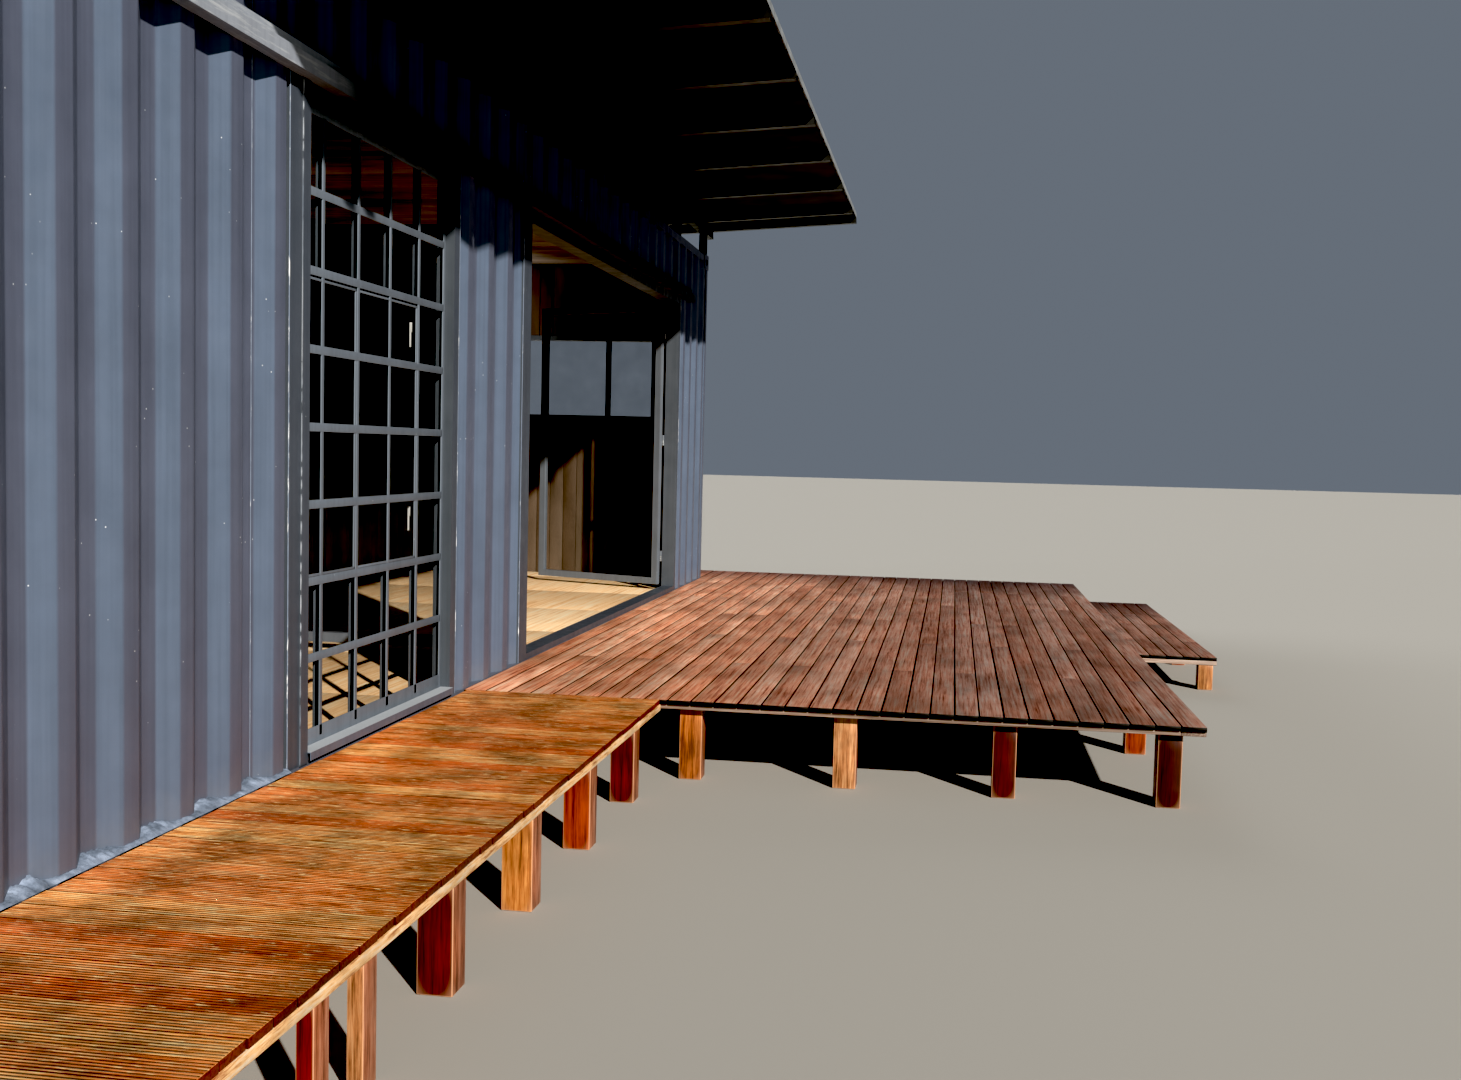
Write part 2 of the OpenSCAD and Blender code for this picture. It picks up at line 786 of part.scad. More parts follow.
// A flat bar with a web behind it, drawn upright from its middle line
module upright_bar(x, z, face) {
    block([x - face / 2, x + face / 2], [grille_set, grille_set + flange_t], z);
    block([x - web_t / 2, x + web_t / 2], [grille_set, grille_set + flange_t + web_d], z);
}

// A flat bar with a web behind it, drawn level from its middle line
module cross_bar(x, z, face) {
    block(x, [grille_set, grille_set + flange_t], [z - face / 2, z + face / 2]);
    block(x, [grille_set, grille_set + flange_t + web_d], [z - web_t / 2, z + web_t / 2]);
}

// The frame of an opening vent, a flat ring between bars
module vent_ring(x, z) {
    difference() {
        block(x, [grille_set, grille_set + flange_t], z);
        block([x[0] + vent_bar, x[1] - vent_bar], [grille_set - eps, grille_set + flange_t + eps],
              [z[0] + vent_bar, z[1] - vent_bar]);
    }
}

function bar_z(row) = first_bar_z + row * bar_pitch_z;

module window_grille() {
    x = [pane_x, pane_x + window_w];
    z = [grille_z0, grille_z1];
    y = [grille_set, grille_set + flange_t];
    vent_x = [x[0] + edge_bar + vent_gap,
              x[0] + (grille_cols - 1) * pane_pitch_x - bar_v / 2 - vent_gap];
    color("lightslategray") union() {
        difference() {
            block(x, y, z);
            block([x[0] + edge_bar, x[1] - edge_bar], [y[0] - eps, y[1] + eps],
                  [z[0] + bottom_bar, z[1] - edge_bar]);
        }
        for (col = [1:grille_cols - 1]) upright_bar(x[0] + col * pane_pitch_x, z, bar_v);
        for (row = [1:grille_rows - 1]) cross_bar(x, bar_z(row), bar_h);
        for (rows = [[vent_rows[0], vent_rows[1]], [vent_rows[1], vent_rows[2]]])
            vent_ring(vent_x, [bar_z(rows[0]) + bar_h / 2 + vent_gap,
                               bar_z(rows[1]) - bar_h / 2 - vent_gap]);
        for (row = vent_rows) for (up = [-1, 1])
            if (!(row == vent_rows[0] && up == -1) && !(row == vent_rows[2] && up == 1))
                for (col = [1:grille_cols - 2])
                    block([x[0] + col * pane_pitch_x - bar_v / 2,
                           x[0] + col * pane_pitch_x + bar_v / 2], y,
                          [bar_z(row) - bar_h, bar_z(row) + bar_h]);
    }
}

// One pane for each opening of the grille, seated behind the flanges
module window_glass() {
    slack = web_t / 2 + 1;
    z_edges = [for (row = [0:grille_rows])
        row == 0 ? grille_z0 + 5 : row == grille_rows ? grille_z1 - slack : bar_z(row)];
    color("lightblue", 0.4)
        for (col = [0:grille_cols - 1]) for (row = [0:grille_rows - 1])
            block([pane_x + col * pane_pitch_x + slack, pane_x + (col + 1) * pane_pitch_x - slack],
                  [grille_set + flange_t, grille_set + flange_t + glass_t],
                  [z_edges[row] + slack, z_edges[row + 1] - slack]);
}

// Folded sheet on the window's foot, with a short lip in front of the wall
module window_sill() {
    x = [cover_x + cover_w, window_far - far_jamb];
    z = grille_z0;
    color("lightgray") difference() {
        block(x, [-flashing_out, jamb_depth], [z - flashing_lip, z]);
        block([x[0] - eps, x[1] + eps], [flashing_t - flashing_out, jamb_depth + eps],
              [z - flashing_lip - eps, z - flashing_t]);
    }
}

// Two lever latches on the room side of the vents' upright
module window_latches() {
    x = pane_x + (grille_cols - 1) * pane_pitch_x;
    y = grille_set + flange_t + web_d;
    lever_w = latch_w - 4;
    color("gainsboro") for (z = [for (row = latch_rows) bar_z(row)]) {
        block([x - latch_w / 2, x + latch_w / 2], [y, y + latch_d],
              [z - latch_h / 2, z + latch_h / 2]);
        block([x - lever_w / 2, x + lever_w / 2], [y + latch_d, y + latch_d + lever_w],
              [z + lever_w - lever_l, z + lever_w]);
    }
}

module end_window_frame() {
    x = [lining_x - end_proud, end_x + end_proud];
    y = [end_window_y, end_window_y + end_window_w];
    z = [floor_z + end_window_z, floor_z + end_window_z + end_window_h];
    color("dimgray") {
        difference() {
            block(x, y, z);
            block([x[0] - eps, x[1] + eps], [y[0] + end_face, y[1] - end_face],
                  [z[0] + end_face, z[1] - end_face]);
        }
        for (m = [y[0] + side_light, y[1] - side_light])
            block([x[1] - mullion_in - mullion_d, x[1] - mullion_in],
                  [m - end_face / 2, m + end_face / 2],
                  [z[0] + end_face, z[1] - end_face]);
    }
}

module end_window_glass() {
    x = end_x + end_proud - mullion_in - mullion_d / 2;
    y = [end_window_y + end_face, end_window_y + side_light - end_face / 2,
         end_window_y + side_light + end_face / 2,
         end_window_y + end_window_w - side_light - end_face / 2,
         end_window_y + end_window_w - side_light + end_face / 2,
         end_window_y + end_window_w - end_face];
    z0 = floor_z + end_window_z;
    color("lightblue", 0.4) for (i = [0, 2, 4])
        block([x - glass_t / 2, x + glass_t / 2], [y[i], y[i + 1]],
              [z0 + end_face, z0 + end_window_h - end_face]);
}

// Jambs and head with a hollow sill tube between the jambs' feet
module door_frame() {
    clear = [door_x + near_face, door_far - door_face];
    color("dimgray") difference() {
        block([door_x, door_far], [0, door_depth], [floor_z, head_z]);
        block(clear, [-eps, door_depth + eps], [floor_z + door_sill_h, head_z - door_head]);
        block(clear, [tube_wall, door_depth - tube_wall],
              [floor_z - eps, floor_z + door_sill_h - tube_wall]);
    }
}

// Fixed halves of the three hinges: plate, lower knuckle and pin
module door_hinges() {
    color("gray") for (z = hinge_zs) {
        translate([hinge_x, hinge_y, z]) cylinder(h = knuckle_h, r = knuckle_r);
        translate([hinge_x, hinge_y, z]) cylinder(h = 2 * knuckle_h - pin_cap, r = pin_r);
        block([hinge_x, hinge_x + hinge_plate], [door_depth, door_depth + hinge_t],
              [z, z + knuckle_h]);
    }
}

module door_leaf() {
    color("dimgray") leaf_swing() difference() {
        union() {
            leaf_frame(hinge_x - leaf_gap / 2 - leaf_w, leaf_w);
            for (z = hinge_zs) {
                translate([hinge_x, hinge_y, z + knuckle_h + knuckle_gap])
                    cylinder(h = knuckle_h, r = knuckle_r);
                block([hinge_x - hinge_plate, hinge_x], [door_depth, door_depth + hinge_t],
                      [z + knuckle_h + knuckle_gap, z + 2 * knuckle_h + knuckle_gap]);
            }
        }
        for (z = hinge_zs) translate([hinge_x, hinge_y, z + knuckle_h - eps])
            cylinder(h = knuckle_h - pin_cap + 2 * eps, r = pin_r + pin_gap);
    }
}

module door_glass() {
    color("lightblue", 0.4) leaf_swing() leaf_pane(hinge_x - leaf_gap / 2 - leaf_w, leaf_w);
}

// The other two leaves, folded against each other behind the near jamb
module folded_leaves() {
    y0 = hinge_y + hinge_t;
    color("dimgray") {
        for (k = [0, 1]) {
            x = [fold_x + k * (leaf_t + leaf_gap), fold_x + k * (leaf_t + leaf_gap) + leaf_t];
            difference() {
                block(x, [y0, y0 + fold_w], [leaf_z0, leaf_z1]);
                block([x[0] - eps, x[1] + eps], [y0 + leaf_face, y0 + fold_w - leaf_face],
                      [leaf_z0 + leaf_face, leaf_z1 - leaf_face]);
            }
        }
        for (z = hinge_zs) {
            block([fold_x - leaf_gap - hinge_plate, fold_x + hinge_t],
                  [door_depth, y0 + hinge_t], [z, z + knuckle_h]);
            translate([fold_x + leaf_t + leaf_gap / 2, y0 + fold_w, z])
                cylinder(h = 2 * knuckle_h, r = knuckle_r);
        }
    }
}

module folded_glass() {
    y0 = hinge_y + hinge_t;
    color("lightblue", 0.4) for (k = [0, 1]) {
        mid = fold_x + k * (leaf_t + leaf_gap) + leaf_t / 2;
        block([mid - unit_t / 2, mid + unit_t / 2], [y0 + leaf_face, y0 + fold_w - leaf_face],
              [leaf_z0 + leaf_face, leaf_z1 - leaf_face]);
    }
}

module lintel() {
    x = [window_x - lintel_near, door_far + lintel_far];
    color("slategray") union() {
        block(x, [-lintel_d, 0], [head_z, head_z + lintel_h]);
        block(x, [-lintel_top_d, 0], [head_z + lintel_h, head_z + lintel_h + lintel_top_h]);
    }
}

// Short posts on the top rails and castings, their tops cut to the roof's slope
module roof_posts() {
    far_x = end_x - post_in - roof_tube;
    first = roof_x + post_start;
    pitch = (far_x - last_bay - first) / (rail_posts - 1);
    rise = tan(roof_slope);
    under = roof_z - 2 * roof_tube / cos(roof_slope);
    color("dimgray") for (y = [0, wall_back - roof_tube]) {
        for (k = [0:rail_posts - 1])
            short_post(first + k * pitch, y, top_rail_z + top_rail, under, rise);
        short_post(far_x, y, top_z, under, rise);
    }
}

module short_post(x, y, foot, under, rise) {
    outline = [[y, foot], [y + roof_tube, foot], [y + roof_tube, under - (y + roof_tube) * rise],
               [y, under - y * rise]];
    difference() {
        translate([x, 0, 0]) rotate([90, 0, 90]) linear_extrude(height = roof_tube)
            polygon(outline);
        block([x + roof_wall, x + roof_tube - roof_wall], [y + roof_wall, y + roof_tube - roof_wall],
              [foot - eps, under + eps]);
    }
}

module roof_long_beams() {
    color("dimgray") on_slope() for (y = [0, wall_back - roof_tube])
        tube([roof_x, roof_far], [y, y + roof_tube], [-2 * roof_tube, -roof_tube], roof_wall, 0);
}

function beam_xs() = concat(
    [roof_x, roof_far - roof_tube],
    [for (x = [roof_far - beam_start:-beam_pitch:roof_x + 2 * roof_tube]) x]);

module roof_cross_beams() {
    color("dimgray") on_slope() for (x = beam_xs())
        tube([x, x + roof_tube], [-eave_front, wall_back + eave_back], [-roof_tube, 0],
             roof_wall, 1);
}

module roof_sheets() {
    side = (rib_foot - rib_top) / 2;
    pan = rib_pitch - rib_foot;
    color("dimgray") on_slope()
        translate([0, wall_back + eave_back, 0]) rotate([90, 0, 0])
            corrugated(roof_x, roof_far, roof_x + pan_start, pan, side, rib_top, rib_h, roof_t,
                       eave_front + eave_back + wall_back);
}

module roof_edge_trim() {
    x = [roof_x, roof_far];
    y = [-eave_front, wall_back + eave_back];
    z = [rib_h + trim_over - trim_h, rib_h + trim_over];
    slit = 0.4;
    color("silver") on_slope() {
        block([x[0] - trim_t, x[1] + trim_t], [y[0] - trim_t, y[0]], z);
        block([x[0] - trim_t, x[1] + trim_t], [y[1], y[1] + trim_t], z);
        block([x[0] - trim_t, x[0]], [y[0] + slit, y[1] - slit], z);
        block([x[1], x[1] + trim_t], [y[0] + slit, y[1] - slit], z);
    }
}

module walkway_boards() {
    color("peru") block([0, deck_x], [-walk_w, -walk_gap], [board_z, floor_z]);
}

module walkway_bearers() {
    color("sienna") {
        block([0, bearers_x], [-walk_bearer - post_wall_gap, -post_wall_gap], [bearer_z, board_z]);
        block([0, bearers_x], [-walk_w, walk_bearer - walk_w], [bearer_z, board_z]);
    }
}

// Square posts in two rows, with a pair of thin planks in place of one outer post
module walkway_posts() {
    pitch = (deck_x - walk_last - walk_first) / (walk_posts - 1);
    pair = floor(walk_posts / 2);
    pair_x = walk_first + pair * pitch + (timber_post - plank_gap) / 2 - plank_w;
    outer_y = walk_post_set - walk_w;
    color("sienna") for (k = [0:walk_posts - 1]) {
        x = walk_first + k * pitch;
        block([x, x + timber_post], [-timber_post - post_wall_gap, -post_wall_gap],
              [0, bearer_z]);
        if (k != pair)
            block([x, x + timber_post], [outer_y, outer_y + timber_post], [0, bearer_z]);
    }
    color("sienna") for (x = [pair_x, pair_x + plank_w + plank_gap])
        block([x, x + plank_w], [outer_y, outer_y + plank_t], [0, bearer_z]);
}

// The deck, with a short return round the container's far end
module deck_boards() {
    color("saddlebrown") union() {
        block([deck_x, deck_far], [-deck_w, -board_gap], [board_z, floor_z]);
        block([wrap_x, deck_far], [-board_gap - eps, deck_wrap], [board_z, floor_z]);
    }
}

function deck_row_x(i) = bearers_x + i * deck_row_pitch;

// Flat timbers: one under each row of posts, a rim along the outer edge, and the return's own
module deck_bearers() {
    last = deck_rows - 1;
    z = [deck_bearer_z, board_z];
    slit = 0.4;
    rim_y = walk_bearer - deck_w;
    color("sienna") {
        block([bearers_x, deck_far], [-deck_w, rim_y], z);
        for (i = [0:last - 1])
            block([deck_row_x(i), deck_row_x(i) + deck_bearer], [rim_y + slit, 0], z);
        block([deck_row_x(last), deck_far], [rim_y + slit, deck_wrap], z);
        block([wrap_x, deck_row_x(last) - slit], [deck_wrap - walk_bearer, deck_wrap], z);
    }
}

module deck_posts() {
    pitch = (deck_post_out - deck_post_in) / (deck_rows_y - 1);
    color("sienna") {
        for (i = [0:deck_rows - 1]) for (k = [0:deck_rows_y - 1])
            translate([deck_row_x(i) + deck_bearer - timber_post,
                       -deck_post_in - k * pitch - timber_post / 2, 0])
                cube([timber_post, timber_post, deck_bearer_z]);
        for (x = [wrap_x, deck_far - timber_post])
            translate([x, deck_wrap - timber_post, 0])
                cube([timber_post, timber_post, deck_bearer_z]);
    }
}

module step_boards() {
    color("saddlebrown")
        block([step_x, deck_far], [-deck_w - step_w, -deck_w - board_gap],
              [step_board_z, step_top]);
}

// Bearers that run in to the deck's outer posts, each on a post at the step's edge
module step_frame() {
    near_post_y = -deck_post_out - timber_post / 2;
    edge = -deck_w - step_w;
    shift = (timber_post - step_post) / 2;
    xs = [step_x, deck_row_x(4) + deck_bearer - timber_post,
          deck_row_x(5) + deck_bearer - timber_post, deck_far - timber_post];
    color("sienna") union() for (x = xs) {
        block([x, x + timber_post], [edge, near_post_y], [step_bearer_z, step_board_z]);
        block([x + shift, x + shift + step_post],
              [edge + step_post_set, edge + step_post_set + step_post], [0, step_bearer_z]);
    }
}

// Moves the layout so that the origin is on the ground under the middle of the whole cabin
module at_origin() {
    translate([-mid_x, -mid_y, 0]) children();
}

at_origin() footings();
at_origin() bottom_rails();
at_origin() cross_members();
at_origin() floor_boards();
at_origin() corner_posts();
at_origin() corner_castings();
at_origin() top_rails();
at_origin() end_rails();
at_origin() front_wall_near();
at_origin() front_wall_middle();
at_origin() front_wall_far();
at_origin() front_wall_head();
at_origin() back_wall();
at_origin() end_wall();
at_origin() container_roof();
at_origin() cargo_doors();
at_origin() cargo_door_rods();
at_origin() ceiling_lining();
at_origin() end_lining();
at_origin() window_frame();
at_origin() window_grille();
at_origin() window_glass();
at_origin() window_sill();
at_origin() window_latches();
at_origin() end_window_frame();
at_origin() end_window_glass();
at_origin() door_frame();
at_origin() door_hinges();
at_origin() door_leaf();
at_origin() door_glass();
at_origin() folded_leaves();
at_origin() folded_glass();
at_origin() lintel();
at_origin() roof_posts();
at_origin() roof_long_beams();
at_origin() roof_cross_beams();
at_origin() roof_sheets();
at_origin() roof_edge_trim();
at_origin() walkway_boards();
at_origin() walkway_bearers();
at_origin() walkway_posts();
at_origin() deck_boards();
at_origin() deck_bearers();
at_origin() deck_posts();
at_origin() step_boards();
at_origin() step_frame();
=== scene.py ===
import random
from math import cos, radians, sin

import bmesh
import bpy
from mathutils import Matrix, Vector, noise


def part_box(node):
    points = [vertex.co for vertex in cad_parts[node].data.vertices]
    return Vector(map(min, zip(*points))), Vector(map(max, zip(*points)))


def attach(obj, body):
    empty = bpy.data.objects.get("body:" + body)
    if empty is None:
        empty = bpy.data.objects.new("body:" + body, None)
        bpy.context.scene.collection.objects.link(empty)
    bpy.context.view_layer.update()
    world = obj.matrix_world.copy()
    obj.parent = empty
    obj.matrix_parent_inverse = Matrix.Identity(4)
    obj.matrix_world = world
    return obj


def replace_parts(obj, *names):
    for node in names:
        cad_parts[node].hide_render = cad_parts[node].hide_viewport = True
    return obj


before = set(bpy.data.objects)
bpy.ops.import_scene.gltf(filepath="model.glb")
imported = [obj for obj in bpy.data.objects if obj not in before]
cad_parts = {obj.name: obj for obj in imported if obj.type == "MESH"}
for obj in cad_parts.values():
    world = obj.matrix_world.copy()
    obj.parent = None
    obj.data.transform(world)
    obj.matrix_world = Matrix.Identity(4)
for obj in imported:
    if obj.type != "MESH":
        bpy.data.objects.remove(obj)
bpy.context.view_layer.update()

# Camera. The view stands beside the walkway's near end, at eye height over the boards, and looks
# along the wall. Its place and turn were solved from the standard sizes of the container.
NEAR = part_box("corner_castings")[0].x
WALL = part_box("front_wall_near")[0].y


def place(x, y, z):
    """A point by its distances in mm: from the near end, into the room from the wall, and up."""
    return Vector((NEAR + x / 1000, WALL + y / 1000, z / 1000))


def reach(node, axis):
    """Where a CAD node starts and ends along x, y or z, in the mm that place() takes."""
    i = "xyz".index(axis)
    return [round((corner[i] - (NEAR, WALL, 0)[i]) * 1000, 1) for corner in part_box(node)]


def reaches(node):
    """A CAD node's reach along x, y and z."""
    return [reach(node, axis) for axis in "xyz"]


yaw, pitch, roll = radians(8.856), radians(-3.55), radians(1.391)
SENSOR, FOCAL, EYE = 36, 35.09, (112, -2135, 1448)
level_ahead = Vector((cos(yaw), sin(yaw), 0))
ahead = level_ahead * cos(pitch) + Vector((0, 0, sin(pitch)))
level_right = Vector((sin(yaw), -cos(yaw), 0))
level_up = level_right.cross(ahead)
right = level_right * cos(roll) + level_up * sin(roll)
up = level_up * cos(roll) - level_right * sin(roll)
lens = bpy.data.cameras.new("walkway_view")
lens.sensor_width, lens.lens = SENSOR, FOCAL
lens.clip_start, lens.clip_end = 0.02, 400
camera = bpy.data.objects.new("walkway_view", lens)
bpy.context.scene.collection.objects.link(camera)
turn = Matrix((right, up, -ahead)).transposed().to_4x4()
camera.matrix_world = Matrix.Translation(place(*EYE)) @ turn
bpy.context.scene.camera = camera


# Footings. Short lengths of old railway sleeper under the corners and at the thirds of the
# container's length, stacked crosswise in two layers of two. They lie loose, under its weight.
def colour(hexcode):
    """An sRGB hex colour as the linear colour that the shaders take."""
    channels = [int(hexcode[i:i + 2], 16) / 255 for i in (1, 3, 5)]
    return [c / 12.92 if c < 0.04045 else ((c + 0.055) / 1.055) ** 2.4 for c in channels] + [1]


def plug(tree, node, values):
    """Links or sets a node's sockets."""
    for key, value in values.items():
        if isinstance(value, bpy.types.NodeSocket):
            tree.links.new(value, node.inputs[key])
        else:
            node.inputs[key].default_value = value


def add(tree, kind, values=None, **settings):
    """Adds one node with its own settings and its sockets' values or links."""
    made = tree.nodes.new("ShaderNode" + kind)
    for key, value in settings.items():
        setattr(made, key, value)
    plug(tree, made, values or {})
    return made


def ramp(tree, value, *stops, step=False):
    """Turns a value into greys or colours by a ramp's stops, smoothly or in steps."""
    made = add(tree, "ValToRGB", {"Fac": value})
    points = made.color_ramp.elements
    while len(points) < len(stops):
        points.new(0.5)
    for point, (spot, shade) in zip(points, stops):
        shade = colour(shade) if isinstance(shade, str) else shade
        point.position = spot
        point.color = shade if isinstance(shade, list) else (shade, shade, shade, 1)
    if step:
        made.color_ramp.interpolation = "CONSTANT"
    return made.outputs[0]


def ranged(tree, value, low, high, start=0.0, end=1.0):
    """Spreads a value between two limits onto another range."""
    return add(tree, "MapRange", {"Value": value, "From Min": low, "From Max": high,
                                  "To Min": start, "To Max": end}).outputs[0]


def clouds(tree, spot, scale, detail, rough=0.5):
    """Noise with about `scale` blots to the metre."""
    return add(tree, "TexNoise", {"Vector": spot, "Scale": scale, "Detail": detail,
                                  "Roughness": rough}).outputs["Fac"]


def stretch(tree, spot, scale):
    """Scales a place along x, y and z."""
    return add(tree, "Mapping", {"Vector": spot, "Scale": scale}).outputs[0]


def bumps(tree, height, strength, distance, under=None):
    """A bump up to `distance` metres high, laid over another one if it is given."""
    below = {"Normal": under} if under else {}
    return add(tree, "Bump", {"Height": height, "Strength": strength, "Distance": distance,
                              **below}).outputs[0]


def where(tree, kind="Object"):
    """A place on the object, or the way that its surface faces there."""
    return add(tree, "TexCoord").outputs[kind]


def measure(tree, axis, kind="Object"):
    """One axis of such a place or way."""
    return add(tree, "SeparateXYZ", {0: where(tree, kind)}).outputs[axis]


def new_finish(name):
    """An empty material with its node tree and its shader."""
    finish = bpy.data.materials.new(name)
    finish.use_nodes = True
    return finish, finish.node_tree, finish.node_tree.nodes["Principled BSDF"]


def multiply(tree, base, factor, amount=1.0):
    """Darkens or tints a colour by another."""
    return add(tree, "Mix", {0: amount, 6: base, 7: factor}, data_type="RGBA",
               blend_type="MULTIPLY").outputs[2]


def blend(tree, amount, base, other):
    """Covers a colour with another by an amount."""
    return add(tree, "Mix", {0: amount, 6: base, 7: other}, data_type="RGBA").outputs[2]


def sum_of(tree, operation, kind, *values):
    """The outcome of one sum."""
    return add(tree, kind, dict(enumerate(values)), operation=operation).outputs[0]


ACROSS = {"x": (0, 1, 1), "y": (1, 0, 1), "z": (1, 1, 0)}


def timber(name, along, shades, streak=8, run=320, rough=0.5, stain=0.4, own=("#b4aaa4", "#ffffff"),
           faces=None, corners=None, gloss=0.35, glints_dirt_and_groove_shade=0.0):
    """Sawn timber with its grain along one axis: streaks `streak` mm wide and `run` mm long, broad
    stains over neighbouring boards, and a tone for each board. `faces` tints the faces that look along
    an axis, from the lowest board's tone to the highest; on boards' sides in the joints and on bearers'
    tops under the boards this tint is painted shade. `corners` gives the colour of rubbed edges. The
    last argument sets how strong three marks are: pale flecks, which are painted glints; dark dirt
    streaks; and darkened groove floors, which are painted shade."""
    finish, tree, shader = new_finish(name)
    place_on_it = where(tree)
    tone = add(tree, "Attribute", attribute_name="tone").outputs["Fac"]
    slide = add(tree, "VectorMath", {0: (31, 17, 23), "Scale": tone}, operation="SCALE").outputs[0]
    spot = sum_of(tree, "ADD", "VectorMath", place_on_it, slide)

    def streaks(width, length, detail, vector=spot):
        scale = [1000 / (width if side else length) for side in ACROSS[along]]
        return clouds(tree, stretch(tree, vector, scale), 1.0, detail, 0.65)

    grain = streaks(streak, run, 5)
    hair = streaks(streak / 3, run / 2.5, 3)
    mixed = sum_of(tree, "MULTIPLY_ADD", "Math", hair, 0.45, grain)
    dark, mid, light = shades
    body = ramp(tree, ranged(tree, mixed, 0.46, 0.99), (0.10, dark), (0.46, mid), (0.86, light))
    blot = streaks(streak * 22, run * 1.3, 4, place_on_it)
    body = multiply(tree, body, ramp(tree, blot, (0.36, 1 - stain), (0.60, 1.0)))
    body = multiply(tree, body, ramp(tree, tone, (0.0, own[0]), (1.0, own[1])))
    weather = clouds(tree, place_on_it, 0.6, 3)
    body = multiply(tree, body, ramp(tree, weather, (0.38, 1 - stain / 2), (0.56, 1.0)))
    # Pale flecks are painted glints, dark streaks are dirt, and the grooves' floors are darkened as
    # painted shade
    if glints_dirt_and_groove_shade:
        fleck = ranged(tree, streaks(5, 46, 4), 0.57, 0.66, 0.0, glints_dirt_and_groove_shade)
        body = blend(tree, fleck, body, colour(light))
        beside = sum_of(tree, "ADD", "VectorMath", spot, (3, 5, 7))
        dirt = ranged(tree, streaks(6, 70, 4, beside), 0.56, 0.68, 0.0, glints_dirt_and_groove_shade)
        body = blend(tree, dirt, body, colour(dark))
        groove = add(tree, "Attribute", attribute_name="groove").outputs["Fac"]
        body = multiply(tree, body, colour("#46281c"), groove)
    # Tints by facing. On boards' sides in the joints and bearers' tops under the boards the tint is
    # painted shade
    facing = add(tree, "VectorMath", {0: where(tree, "Normal")}, operation="ABSOLUTE").outputs[0]
    facing = add(tree, "SeparateXYZ", {0: facing}).outputs
    for axis, tints in (faces or {}).items():
        flat = ranged(tree, facing[axis], 0.6, 0.9)
        spread = [(k / max(len(tints) - 1, 1), tint) for k, tint in enumerate(tints)]
        oil = ramp(tree, tone, *spread * (2 if len(tints) == 1 else 1))
        body = multiply(tree, body, oil, flat)
    if corners:
        widest = sum_of(tree, "MAXIMUM", "Math", facing["X"], facing["Y"])
        widest = sum_of(tree, "MAXIMUM", "Math", widest, facing["Z"])
        worn = ranged(tree, widest, 0.985, 0.93, 0.0, 0.85)
        body = blend(tree, worn, body, colour(corners))
    plug(tree, shader, {
        "Base Color": body, "IOR": 1.5, "Specular IOR Level": gloss,
        "Roughness": ranged(tree, mixed, 0.45, 1.0, rough + 0.14, rough - 0.08),
        "Normal": bumps(tree, mixed, 0.6, 0.0012)})
    return finish


def deselect():
    bpy.ops.object.select_all(action="DESELECT")


def settle():
    """Bakes a new piece's place, turn and scale into its mesh."""
    bpy.ops.object.transform_apply(location=True, rotation=True, scale=True)


def edit(kind):
    """Opens the active piece in edit mode, to work on its edges or its faces."""
    bpy.ops.object.mode_set(mode="EDIT")
    bpy.ops.mesh.select_mode(type=kind)


def close():
    bpy.ops.object.mode_set(mode="OBJECT")


def smooth(angle):
    """Shades a piece smooth over its edges up to an angle in degrees."""
    bpy.ops.object.shade_smooth_by_angle(angle=radians(angle))


def push(x, y, z):
    """Extrudes what is selected by a distance in metres."""
    bpy.ops.mesh.extrude_region_move(TRANSFORM_OT_translate={"value": (x, y, z)})


def pick(piece, kind, test):
    """In edit mode, selects the edges or faces whose middle passes a test, and nothing else."""
    bpy.ops.mesh.select_all(action="DESELECT")
    mesh = bmesh.from_edit_mesh(piece.data)
    for item in getattr(mesh, kind):
        middle = sum((v.co for v in item.verts), Vector()) / len(item.verts)
        item.select_set(test(item, middle))
    bmesh.update_edit_mesh(piece.data)


def divide(piece, axis, cuts, least):
    """Cuts the edges that run further than `least` metres along an axis into equal lengths."""
    pick(piece, "edges", lambda e, m: abs((e.verts[0].co - e.verts[1].co)[axis]) > least)
    bpy.ops.mesh.subdivide(number_cuts=cuts)


def joined(pieces):
    """Joins pieces into one, and gives it back."""
    deselect()
    for piece in pieces:
        piece.select_set(True)
    bpy.context.view_layer.objects.active = pieces[0]
    if len(pieces) > 1:
        bpy.ops.object.join()
    return bpy.context.object


def hand_in(piece, name, finish):
    """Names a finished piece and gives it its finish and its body."""
    piece.name = name
    piece.data.materials.clear()
    piece.data.materials.append(finish)
    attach(piece, "cabin")
    return piece


def board(low, high, soft, loops=0):
    """One board or post between two corners: sawn square, its edges eased by `soft` metres."""
    deselect()
    size = high - low
    bpy.ops.mesh.primitive_cube_add(size=1, location=(low + high) / 2, scale=size)
    piece = bpy.context.object
    settle()
    long_way = max(range(3), key=lambda i: size[i])
    edit("EDGE")
    if loops:
        divide(piece, long_way, loops, 1e-4)
    pick(piece, "edges", lambda e, m: e.calc_face_angle() > 1)
    bpy.ops.mesh.bevel(offset=soft, segments=2, affect="EDGES")
    close()
    smooth(40)
    return piece


chance = random.Random(40)


